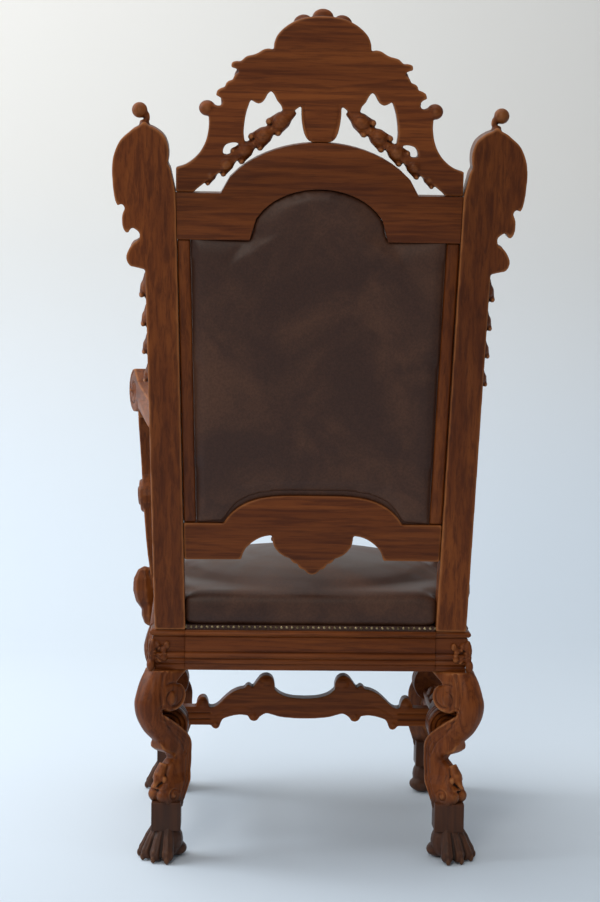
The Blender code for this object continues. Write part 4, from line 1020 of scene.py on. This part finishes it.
CREST = [
    (0.0, 0.0400, 1), (0.0120, 0.0400, 1), (0.0120, 0.0910, 1), (0.0225, 0.0960), (0.0290, 0.1060),
    (0.0330, 0.1220), (0.0350, 0.1400), (0.0350, 0.1565, 1), (0.0465, 0.1480, 1), (0.0603, 0.1283),
    (0.0948, 0.0983), (0.1293, 0.0713), (0.1643, 0.0453), (0.1973, 0.0223), (0.2180, 0.0060, 1),
    (0.2400, -0.0182, 1), (0.2545, -0.0182, 1), (0.2545, 0.0440, 1), (0.2352, 0.0511), (0.2154, 0.0680),
    (0.2028, 0.0904), (0.1975, 0.1157), (0.1975, 0.1376), (0.1960, 0.1490, 1), (0.1900, 0.1560),
    (0.1822, 0.1530), (0.1760, 0.1545, 1),
    (0.1730, 0.1610), (0.1775, 0.1680), (0.1850, 0.1716, 1), (0.1830, 0.1800), (0.1750, 0.1850),
    (0.1690, 0.1860, 1), (0.1680, 0.1930), (0.1610, 0.1980), (0.1560, 0.1985, 1), (0.1530, 0.2070),
    (0.1449, 0.2130, 1), (0.1490, 0.2180), (0.1590, 0.2210, 1), (0.1580, 0.2290), (0.1500, 0.2320, 1),
    (0.1420, 0.2320), (0.1330, 0.2400), (0.1180, 0.2440), (0.1100, 0.2480, 1), (0.1020, 0.2530), (0.0930, 0.2545),
    (0.0850, 0.2520, 1), (0.0845, 0.2640), (0.0790, 0.2780), (0.0670, 0.2910), (0.0500, 0.3020), (0.0280, 0.3095),
    (0.0, 0.3120)]
LARGE_OPENING = [
    (0.0894, 0.1808, 1), (0.0840, 0.1740), (0.0790, 0.1640), (0.0720, 0.1560), (0.0690, 0.1470, 1),
    (0.0700, 0.1390), (0.0860, 0.1225), (0.1022, 0.1085), (0.1200, 0.0945), (0.1345, 0.0850, 1), (0.1375, 0.1035),
    (0.1370, 0.1200), (0.1335, 0.1425), (0.1259, 0.1660, 1), (0.1190, 0.1610), (0.1120, 0.1585), (0.1050, 0.1610),
    (0.0991, 0.1690, 1), (0.0950, 0.1770)]
SMALL_OPENING = [(0.1750, 0.0690, 1), (0.1735, 0.0790), (0.1690, 0.0860, 1), (0.1580, 0.0895), (0.1470, 0.0890, 1),
                 (0.1455, 0.0810, 1), (0.1560, 0.0745), (0.1650, 0.0680)]
HUSKS = ((0.0690, 0.1300, 1.24), (0.1010, 0.1030, 1.20), (0.1340, 0.0770, 1.14), (0.1670, 0.0520, 1.04),
         (0.1960, 0.0310, 0.84))


def add_husk(bm, x, z, size, degrees, deep):
    """A bell husk in the board's plane, its mouth toward the angle, with three curled petals."""
    a = math.radians(degrees)
    along = Vector((math.cos(a), 0, math.sin(a)))
    across = Vector((-math.sin(a), 0, math.cos(a)))
    spot = Vector((x, 0, z))
    add_taper(bm, spot - along * 0.022 * size, spot + along * 0.006 * size, 0.0058 * size, 0.0130 * size,
              deep / 0.0130 / size)
    add_ball(bm, spot + along * 0.002 * size, (0.0160 * size, deep, 0.0128 * size), -a)
    for side in (-1, 0, 1):
        tip = spot + along * (0.020 - 0.004 * abs(side)) * size + across * side * 0.0105 * size
        start = spot + across * side * 0.0045 * size
        add_taper(bm, start, tip, 0.0088 * size, 0.0042 * size, 1.15)
        add_ball(bm, tip, (0.0055 * size, deep * 0.72, 0.0048 * size), -a)


def outer_arch(x):
    """Height of the top rail's upper edge."""
    return SHOULDER + OUTER_ARCH_RISE * max(0.0, 1 - (x / OUTER_ARCH_HALF) ** 2) ** 0.66


def post_middle(u):
    """X of the middle of a back post at a height along the back."""
    return POST_FOOT + POST_SPREAD * min(u, SHOULDER) / SHOULDER


def post_skin():
    """The left post with its ear, finial and husks, in the back's own plane."""
    half = POST_HALF
    middle = post_middle(SHOULDER)
    ear = drawn([(middle + p[0] * 0.945 - 0.001, SHOULDER + p[1], *p[2:]) for p in EAR], 0.003, False)
    join = SHOULDER - 0.1387
    loop = [(post_middle(0) - half, 0.0003), (middle - half, SHOULDER), *ear,
            (post_middle(join) + half, join), (post_middle(0) + half, 0.0003)]
    bm = bmesh.new()
    add_board(bm, [loop], BACK_DEPTH)
    skin = Skin(one_skin(bm, 0.0018))
    skin.fair_outline(3)
    skin.soften(1, 0.5)
    skin.store()
    bm = bmesh.new()
    x, z = middle + 0.0275, SHOULDER + 0.1225
    add_taper(bm, (x - 0.001, 0, z - 0.014), (x + 0.0005, 0, z + 0.004), 0.0125, 0.0075)
    for point in flowing([(x - 0.001, z), (x - 0.0045, z + 0.006), (x - 0.003, z + 0.014), (x + 0.004, z + 0.0185)],
                         (), 0.003, False):
        add_ball(bm, (point[0], 0, point[1]), (0.0058, 0.0062, 0.0058), segments=10, rings=6)
    add_ball(bm, (x + 0.0085, 0, z + 0.0210), (0.0140, 0.0140, 0.0140), segments=24, rings=16)
    front = -BACK_DEPTH / 2
    cx, cz = middle + 0.036, SHOULDER + 0.052
    add_ball(bm, (cx, front - 0.001, cz), (0.0380, 0.0080, 0.0540), 0.1)
    add_ball(bm, (cx + 0.002, front - 0.006, cz + 0.004), (0.0130, 0.0085, 0.0150))
    add_ball(bm, (middle + 0.050, front + 0.001, SHOULDER - 0.040), (0.0130, 0.0075, 0.0280), 0.2)
    add_ball(bm, (middle + 0.040, front + 0.001, SHOULDER - 0.108), (0.0150, 0.0075, 0.0200))
    for height in range(5):
        add_ball(bm, (post_middle(0) - 0.001 + 0.003 * height, front + 0.001, SHOULDER - 0.165 - 0.135 * height),
                 (0.0125, 0.0060, 0.052))
    for drop, size in ((0.1700, 1.0), (0.2252, 0.9), (0.2777, 0.85), (0.3312, 0.8)):
        z = SHOULDER - drop
        add_husk(bm, post_middle(z) + half - 0.003, z, 1.05 * size, -90, 0.0165 * size)
    bm.from_mesh(skin.mesh)
    return Skin(one_skin(bm, 0.0018))


def shell_rib(bm, hub, degrees, reach, size, sign, face):
    """One rib of the shell, from its hub to a rounded lobe past the board's edge."""
    a = math.radians(degrees)
    along = Vector((sign * math.cos(a), 0, math.sin(a)))
    start = Vector((0, face, hub)) + along * 0.022
    end = Vector((0, face, hub)) + along * (reach - size * 0.85)
    add_taper(bm, start, end, 0.0050, size * 1.02, 0.60, 16)
    add_ball(bm, end, (size * 0.85, size * 0.66, size * 1.08), -a if sign > 0 else a - math.pi, "Y", 20, 12)


def crest_skin():
    """The pierced crest in the back's own plane."""
    voxel = bpy.context.scene.throne_carving.voxel
    half = [(x * CREST_WIDER, max(SHOULDER + z, outer_arch(x * CREST_WIDER) + HAIR))
            for x, z in drawn(CREST, 0.003, False)]
    large = [(x, SHOULDER + z) for x, z in drawn(LARGE_OPENING, 0.003)]
    small = [(x, SHOULDER + z) for x, z in drawn(SMALL_OPENING, 0.003)]
    bm = bmesh.new()
    openings = [[(sign * x, z) for x, z in loop] for loop in (large, small) for sign in (1, -1)]
    add_board(bm, [both_sides(half)] + openings, CREST_DEPTH)
    skin = Skin(one_skin(bm, voxel))
    skin.fair_outline(3)
    skin.soften(1, 0.5)
    skin.store()
    bm = bmesh.new()
    face = -CREST_DEPTH / 2
    hub = SHOULDER + 0.168
    for degrees, reach, size in ((90, 0.157, 0.0175), (75, 0.151, 0.0155), (62.5, 0.137, 0.0150),
                                 (50, 0.124, 0.0145), (36, 0.132, 0.0140), (22, 0.118, 0.0120)):
        for sign in (-1, 1) if degrees < 90 else (1,):
            shell_rib(bm, hub, degrees, reach, size, sign, face)
    add_ball(bm, (0, face, hub), (0.026, 0.015, 0.026), segments=24, rings=16)
    add_ball(bm, (0, face + 0.002, SHOULDER + 0.117), (0.021, 0.010, 0.034))
    for sign in (-1, 1):
        for x, z, size in HUSKS:
            add_husk(bm, sign * x, SHOULDER + z, size, -39 if sign > 0 else 219, 0.0165 * size)
        add_ball(bm, (sign * 0.2030, 0, SHOULDER + 0.1490), (0.0150, 0.0160, 0.0140), segments=24, rings=16)
        add_taper(bm, (sign * 0.188, 0, SHOULDER + 0.134), (sign * 0.198, 0, SHOULDER + 0.143), 0.0075, 0.0065)
        for x, z, wide, tall, lean in ((0.160, 0.140, 0.014, 0.042, 0.35), (0.189, 0.090, 0.009, 0.034, 0.10),
                                       (0.137, 0.208, 0.020, 0.016, 0.5), (0.105, 0.215, 0.022, 0.018, 0.3),
                                       (0.215, 0.050, 0.020, 0.012, 0.5)):
            add_ball(bm, (sign * x, face + 0.001, SHOULDER + z), (wide, 0.0085, tall), sign * lean)
    bm.from_mesh(skin.mesh)
    skin = Skin(one_skin(bm, voxel))
    skin.soften(2, 0.5)
    flutes = []
    for degrees in (29, 43, 56, 68.5, 82):
        for sign in (-1, 1):
            a = math.radians(degrees)
            flutes.append([(sign * 0.026 * math.cos(a), hub + 0.026 * math.sin(a)),
                           (sign * 0.140 * math.cos(a), hub + 0.140 * math.sin(a))])
    depth = bpy.context.scene.throne_carving.depth
    skin.cut(flutes, 0.0020, depth * 1.5, 0.0, -1)
    veins = []
    for sign in (-1, 1):
        for line in ([(0.205, 0.040), (0.186, 0.075), (0.182, 0.120), (0.160, 0.165), (0.140, 0.205)],
                     [(0.184, 0.090), (0.192, 0.128)], [(0.182, 0.120), (0.170, 0.150)],
                     [(0.160, 0.165), (0.180, 0.172)], [(0.148, 0.190), (0.152, 0.225)],
                     [(0.140, 0.205), (0.110, 0.232), (0.090, 0.240)]):
            veins.append([(sign * x, SHOULDER + z) for x, z in line])
    skin.cut(veins, 0.0016, depth, 0.0, -1)
    skin.cut([[(sign * 0.0205, SHOULDER + 0.09), (sign * 0.0215, SHOULDER + 0.10), (sign * 0.0300, SHOULDER + 0.135),
               (sign * 0.0310, SHOULDER + 0.158)] for sign in (-1, 1)], 0.0014, depth * 0.9)
    return skin


def lower_rail_skin():
    """The lower rail with its raised arch and its carved pendant."""
    low = LOWER_RAIL_LOW
    high = low + LOWER_RAIL_HEIGHT
    edge = POST_FOOT - POST_HALF - HAIR
    half = [(x, low + z) for x, z in drawn(PENDANT, 0.003, False)]
    half += [(edge + POST_SPREAD * low / SHOULDER, low), (edge + POST_SPREAD * high / SHOULDER, high)]
    half += [(LOWER_ARCH_HALF * (1 - i / 24), high + LOWER_ARCH_RISE * max(0.0, 1 - (1 - i / 24) ** 4) ** 0.85)
             for i in range(25)]
    bm = bmesh.new()
    add_board(bm, [both_sides(half)], RAIL_DEPTH)
    skin = Skin(one_skin(bm, bpy.context.scene.throne_carving.voxel))
    skin.fair_outline(3)
    skin.soften(2, 0.5)
    skin.store()
    bm = bmesh.new()
    for sign in (-1, 1):
        add_ball(bm, (sign * 0.034, -0.016, low + 0.030), (0.014, 0.0075, 0.030), -sign * 0.8)
        add_ball(bm, (sign * 0.058, -0.016, low + 0.040), (0.010, 0.0060, 0.022), -sign * 1.1)
    add_ball(bm, (0, -0.016, low + 0.014), (0.014, 0.0085, 0.036))
    bm.from_mesh(skin.mesh)
    skin = Skin(one_skin(bm, bpy.context.scene.throne_carving.voxel))
    skin.soften(1, 0.5)
    return skin


class THRONE_OT_back(bpy.types.Operator):
    """Carve the back's posts and rails"""
    bl_idname = "throne.back"
    bl_label = "Back"

    def execute(self, context):
        depth = context.scene.throne_carving.depth
        skin = post_skin()
        skin.soften(1, 0.5)
        middle = post_middle(SHOULDER)
        ear = (middle + 0.036, SHOULDER + 0.052)
        lines = [spiral(*ear, 0.042, 0.012, 110, -1.3, 0.80)]
        for degrees in range(-160, 60, 27):
            a = math.radians(degrees)
            lines.append([(ear[0] + 0.030 * math.cos(a), ear[1] - 0.008 + 0.044 * math.sin(a)),
                          (ear[0] + 0.048 * math.cos(a), ear[1] - 0.008 + 0.072 * math.sin(a))])
        skin.cut(lines, 0.0018, depth * 1.2, 0.0, -1)
        edge = [(post_middle(u) + side * 0.021, u) for side, u in ((-1, 0.02), (-1, SHOULDER - 0.02))]
        other = [(post_middle(u) + side * 0.021, u) for side, u in ((1, 0.02), (1, SHOULDER - 0.15))]
        skin.cut([edge, other], 0.0016, depth, 0.0, -1)
        mesh = skin.wear_and_shade(78000)
        mirror = Matrix.Diagonal((-1, 1, 1, 1))
        place_object("back_post_left_carving", put(mesh.copy(), BACK_PLACE), FINISHES["Z"], ("back_post_left",))
        place_object("back_post_right_carving", put(mesh, BACK_PLACE @ mirror, True), FINISHES["Z"],
                     ("back_post_right",))
        skin = lower_rail_skin()
        low = LOWER_RAIL_LOW
        veins = []
        for sign in (-1, 1):
            for x, z in ((0.010, 0.044), (0.030, 0.050), (0.052, 0.052), (0.068, 0.044)):
                veins.append([(sign * 0.002, low - 0.012), (sign * x * 0.6, low + z * 0.45), (sign * x, low + z)])
        arch = [(x, low + LOWER_RAIL_HEIGHT + LOWER_ARCH_RISE * max(0.0, 1 - (abs(x) / LOWER_ARCH_HALF) ** 4) ** 0.85
                 - 0.011)
                for x in [-0.155 + 0.31 * i / 40 for i in range(41)]]
        skin.cut(veins + [arch], 0.0015, depth * 0.9, 0.0, -1)
        place_object("lower_rail_carving", put(skin.wear_and_shade(50000), BACK_PLACE), FINISHES["X"], ("lower_rail",))
        eased_copy("top_rail", FINISHES["X"], 0.0010, BACK_PLACE)
        for node in ("back_strip_left", "back_strip_right"):
            eased_copy(node, FINISHES["Z"], 0.0008, BACK_PLACE)
        return {"FINISHED"}


class THRONE_OT_crest(bpy.types.Operator):
    """Carve the pierced crest with its shell, leaves and husks"""
    bl_idname = "throne.crest"
    bl_label = "Crest"

    def execute(self, context):
        place_object("crest_carving", put(crest_skin().wear_and_shade(140000), BACK_PLACE), FINISHES["X"], ("crest",))
        return {"FINISHED"}


class THRONE_OT_arms(bpy.types.Operator):
    """Carve the arms and soften their supports"""
    bl_idname = "throne.arms"
    bl_label = "Arms"

    def execute(self, context):
        for side in ("left", "right"):
            skin = Skin(one_skin(node_shape(f"arm_{side}"), 0.0018))
            skin.soften(5, 0.5)
            centre = (-FRAME_DEPTH + 0.054 + SHIFT_Y, 0.869)
            swap = skin.co[:, [1, 0, 2]].copy()
            skin.co, kept = swap, skin.co
            flat = skin.co[:, [0, 2]]
            amount = np.exp(-(distance(flat, spiral(*centre, 0.041, 0.012, 90, 1.5), 0.010) / 0.0022) ** 2)
            skin.co = kept
            normals = skin.normals()
            faces = np.clip(np.abs(normals[:, 0]) * 1.6 - 0.6, 0, 1)
            skin.co[:, 0] -= np.sign(normals[:, 0]) * amount * faces * 0.003
            place_object(f"arm_{side}_carving", skin.wear_and_shade(24000), FINISHES["Y"], (f"arm_{side}",))
            skin = Skin(one_skin(node_shape(f"arm_support_{side}"), 0.0016))
            skin.soften(4, 0.5)
            place_object(f"arm_support_{side}_carving", skin.wear_and_shade(24000), FINISHES["Z"], (f"arm_support_{side}",))
        return {"FINISHED"}


def padded_shape(node, place, shrink, swell):
    """A pad swollen by its filling, from a slightly smaller copy of its node."""
    bm = node_shape(node, place)
    low = Vector([min(v.co[i] for v in bm.verts) for i in range(3)])
    high = Vector([max(v.co[i] for v in bm.verts) for i in range(3)])
    middle = (low + high) / 2
    size = high - low
    factors = [max(0.05, (size[i] - 2 * shrink[i]) / size[i]) for i in range(3)]
    for vert in bm.verts:
        vert.co = Vector([middle[i] + (vert.co[i] - middle[i]) * factors[i] for i in range(3)])
    mesh = one_skin(bm, 0.005)
    obj = bpy.data.objects.new("pad", mesh)
    bpy.context.scene.collection.objects.link(obj)
    start = np.empty(len(mesh.vertices) * 3)
    mesh.vertices.foreach_get("co", start)
    cloth = obj.modifiers.new("Cloth", "CLOTH")
    cloth.settings.quality = 5
    cloth.settings.mass = 0.3
    cloth.settings.tension_stiffness = 15
    cloth.settings.bending_stiffness = 0.5
    cloth.settings.use_pressure = True
    cloth.settings.uniform_pressure_force = 4
    cloth.settings.effector_weights.gravity = 0
    scene = bpy.context.scene
    for number in range(1, 21):
        scene.frame_set(number)
    graph = bpy.context.evaluated_depsgraph_get()
    grown = bpy.data.meshes.new_from_object(obj.evaluated_get(graph))
    bpy.data.objects.remove(obj, do_unlink=True)
    scene.frame_set(1)
    after = np.empty(len(grown.vertices) * 3)
    grown.vertices.foreach_get("co", after)
    move = (after - start).reshape(-1, 3)
    length = np.linalg.norm(move, axis=1)
    move *= (np.minimum(length, swell) / np.maximum(length, 1e-9))[:, None]
    grown.vertices.foreach_set("co", (start.reshape(-1, 3) + move).ravel())
    return grown


def subdivided(mesh):
    obj = bpy.data.objects.new("smooth", mesh)
    bpy.context.scene.collection.objects.link(obj)
    smooth = obj.modifiers.new("Subdivision", "SUBSURF")
    smooth.levels = 1
    smooth.render_levels = 1
    return evaluated(obj)


def refitted(mesh, low, high, axes):
    """Stretch a mesh so that it fills a box again along the given axes."""
    skin = Skin(mesh)
    for axis in axes:
        least, most = skin.co[:, axis].min(), skin.co[:, axis].max()
        share = (skin.co[:, axis] - least) / (most - least)
        skin.co[:, axis] = low[axis] + share * (high[axis] - low[axis])
    skin.store()
    return mesh


class THRONE_OT_leather(bpy.types.Operator):
    """Fill and cover the seat and the back in leather"""
    bl_idname = "throne.leather"
    bl_label = "Leather"

    def execute(self, context):
        crown = context.scene.throne_leather.crown
        seat = padded_shape("seat_pad", NOWHERE, (0.003, 0.003, 0.003), crown)
        skin = Skin(seat)
        skin.soften(26, 0.6)
        skin.store()
        refitted(seat, *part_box("seat_pad"), (0, 1, 2))
        mesh = shaded(thinned(subdivided(seat), 50000), 60.0)
        obj = place_object("seat_leather", mesh, FINISHES["leather"], ("seat_pad",))
        bm = node_shape("seat_pad")
        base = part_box("seat_pad")[0][2]
        for vert in bm.verts:
            vert.co.z = base + (vert.co.z - base) * 0.14
        place_object("seat_leather_band", shaded(to_mesh(bm), 30.0), FINISHES["leather"], ())
        bm = node_shape("back_pad", BACK_PLACE)
        low = [min(v.co[i] for v in bm.verts) for i in range(3)]
        high = [max(v.co[i] for v in bm.verts) for i in range(3)]
        for vert in bm.verts:
            vert.co.y *= 0.45
        mesh = shaded(put(to_mesh(bm), BACK_PLACE), 30.0)
        place_object("back_leather_core", mesh, FINISHES["leather"], ())
        back = padded_shape("back_pad", BACK_PLACE, (0.0, 0.008, 0.0), crown * 0.8)
        refitted(back, low, high, (0, 2))
        mesh = shaded(put(thinned(subdivided(back), 40000), BACK_PLACE), 60.0)
        obj = place_object("back_leather", mesh, FINISHES["leather"], ("back_pad",))
        return {"FINISHED"}


class THRONE_OT_nails(bpy.types.Operator):
    """Drive the rows of brass nails along the seat"""
    bl_idname = "throne.nails"
    bl_label = "Nails"

    def execute(self, context):
        look = context.scene.throne_leather
        low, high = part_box("seat_pad")
        z = low[2] + 0.0055
        for name, reach, y, facing in (("rear", 0.236, high[1] - 0.0005, 1), ("front", 0.262, low[1] + 0.0005, -1)):
            bm = bmesh.new()
            start = Vector((-reach, y, z))
            run = Vector((2 * reach, 0, 0))
            count = int(run.length / look.nail_pitch) + 1
            turn = Vector((0, 0, 1)).rotation_difference(Vector((0, facing, 0))).to_matrix().to_4x4()
            for i in range(count):
                spot = start + run * (i / (count - 1))
                bmesh.ops.create_uvsphere(
                    bm, u_segments=10, v_segments=6, radius=look.nail_radius,
                    matrix=Matrix.Translation(spot) @ turn @ Matrix.Diagonal((1, 1, 0.62, 1)))
            place_object(f"nails_{name}", shaded(to_mesh(bm), 60.0), FINISHES["brass"], ())
        return {"FINISHED"}


class THRONE_OT_stage(bpy.types.Operator):
    """Set the pale floor, the lights and the camera"""
    bl_idname = "throne.stage"
    bl_label = "Stage"

    def execute(self, context):
        scene = context.scene
        bm = bmesh.new()
        bmesh.ops.create_grid(bm, x_segments=1, y_segments=1, size=9)
        edge = [e for e in bm.edges if all(v.co.y < -8 for v in e.verts)]
        for vert in {v for e in edge for v in e.verts}:
            vert.co.y = -1.9
        for i in range(12):
            a = math.radians(90 * (i + 1) / 12)
            raised = bmesh.ops.extrude_edge_only(bm, edges=edge)
            edge = [e for e in raised["geom"] if isinstance(e, bmesh.types.BMEdge)]
            verts = {v for e in edge for v in e.verts}
            for vert in verts:
                vert.co.y = -1.9 - 1.2 * math.sin(a)
                vert.co.z = 1.2 * (1 - math.cos(a))
        raised = bmesh.ops.extrude_edge_only(bm, edges=edge)
        for vert in {v for v in raised["geom"] if isinstance(v, bmesh.types.BMVert)}:
            vert.co.z = 7
        bmesh.ops.recalc_face_normals(bm, faces=bm.faces)
        mesh = to_mesh(bm, "floor")
        mesh.shade_smooth()
        floor = bpy.data.objects.new("floor", mesh)
        scene.collection.objects.link(floor)
        mat = bpy.data.materials.new("pale_floor")
        mat.use_nodes = True
        shader = mat.node_tree.nodes["Principled BSDF"]
        tree = mat.node_tree
        coords = tree.nodes.new("ShaderNodeTexCoord")
        height = tree.nodes.new("ShaderNodeSeparateXYZ")
        tree.links.new(coords.outputs["Object"], height.inputs["Vector"])
        # partly painted light: the floor's blue tint stands for the skylight falling on it; the warmer pale grey on
        # the wall is the backdrop's own, and the mix runs by height
        tint_with_painted_skylight = blend(tree, span(tree, height.outputs["Z"], 0.0, 1.6), (0.68, 0.76, 0.85), (0.72, 0.70, 0.67))
        tree.links.new(tint_with_painted_skylight, shader.inputs["Base Color"])
        shader.inputs["Roughness"].default_value = 0.9
        mesh.materials.append(mat)
        world = bpy.data.worlds.new("soft_room")
        world.use_nodes = True
        world.node_tree.nodes["Background"].inputs["Color"].default_value = (0.93, 0.97, 1.0, 1)
        world.node_tree.nodes["Background"].inputs["Strength"].default_value = 0.35
        scene.world = world
        for name, spot, aim, size, power, tint in (
                ("window", (3.4, -0.2, 2.4), (-0.4, 0.0, 0.3), 2.6, 88, (0.88, 0.95, 1.0)),
                ("sky", (0.3, 0.4, 4.6), (0, 0, 0), 3.0, 45, (0.95, 0.98, 1.0)),
                ("room", (1.2, 4.4, 3.0), (0, 0, 0.8), 1.6, 56, (1.0, 0.93, 0.84)),
                ("wall", (1.6, -0.9, 3.4), (0.5, -3.0, 0.9), 2.5, 44, (1.0, 0.96, 0.90))):
            light = bpy.data.lights.new(name, "AREA")
            light.shape = "SQUARE"
            light.size = size
            light.energy = power
            light.color = tint
            lamp = bpy.data.objects.new(name, light)
            lamp.location = spot
            lamp.rotation_euler = (Vector(aim) - Vector(spot)).to_track_quat("-Z", "Y").to_euler()
            scene.collection.objects.link(lamp)
        data = bpy.data.cameras.new("camera")
        data.sensor_fit = "VERTICAL"
        data.sensor_height = 36
        data.lens = 1880 / 902 * 36
        camera = bpy.data.objects.new("camera", data)
        scene.collection.objects.link(camera)
        yaw, pitch, roll = math.radians(-1.89), math.radians(5.09), math.radians(0.83)
        ahead = Vector((math.sin(yaw) * math.cos(pitch), -math.cos(yaw) * math.cos(pitch), -math.sin(pitch)))
        right = ahead.cross(Vector((0, 0, 1))).normalized()
        up = right.cross(ahead)
        rolled = math.cos(roll) * right + math.sin(roll) * up
        upper = -math.sin(roll) * right + math.cos(roll) * up
        turn = Matrix((rolled, upper, -ahead)).transposed().to_4x4()
        camera.matrix_world = Matrix.Translation((0.141, 3.5 + SHIFT_Y, 1.1)) @ turn
        scene.camera = camera
        scene.view_settings.view_transform = "Standard"
        return {"FINISHED"}


class THRONE_PT_panel(bpy.types.Panel):
    """The steps that dress the throne"""
    bl_idname = "THRONE_PT_panel"
    bl_label = "Carved Throne"
    bl_space_type = "VIEW_3D"
    bl_region_type = "UI"
    bl_category = "Throne"

    def draw(self, context):
        scene = context.scene
        for group, names in ((scene.throne_wood, ("recess_shade_colour", "body", "streak", "worn", "roughness")),
                             (scene.throne_leather, ("hide", "rubbed", "crown", "nail_pitch", "nail_radius")),
                             (scene.throne_carving, ("voxel", "depth"))):
            for name in names:
                self.layout.prop(group, name)
        for step in STEPS:
            self.layout.operator(step.bl_idname)


STEPS = (THRONE_OT_stage, THRONE_OT_seat_frame, THRONE_OT_legs, THRONE_OT_stretchers, THRONE_OT_back,
         THRONE_OT_crest, THRONE_OT_arms, THRONE_OT_leather, THRONE_OT_nails)
GROUPS = (ThroneWood, ThroneLeather, ThroneCarving)


def register():
    for item in GROUPS + STEPS + (THRONE_PT_panel,):
        bpy.utils.register_class(item)
    bpy.types.Scene.throne_wood = bpy.props.PointerProperty(type=ThroneWood)
    bpy.types.Scene.throne_leather = bpy.props.PointerProperty(type=ThroneLeather)
    bpy.types.Scene.throne_carving = bpy.props.PointerProperty(type=ThroneCarving)


def unregister():
    del bpy.types.Scene.throne_wood
    del bpy.types.Scene.throne_leather
    del bpy.types.Scene.throne_carving
    for item in reversed(GROUPS + STEPS + (THRONE_PT_panel,)):
        bpy.utils.unregister_class(item)


def main():
    register()
    make_finishes()
    bpy.ops.throne.stage()
    bpy.ops.throne.seat_frame()
    bpy.ops.throne.legs()
    bpy.ops.throne.stretchers()
    bpy.ops.throne.back()
    bpy.ops.throne.crest()
    bpy.ops.throne.arms()
    bpy.ops.throne.leather()
    bpy.ops.throne.nails()


if __name__ == "__main__":
    main()
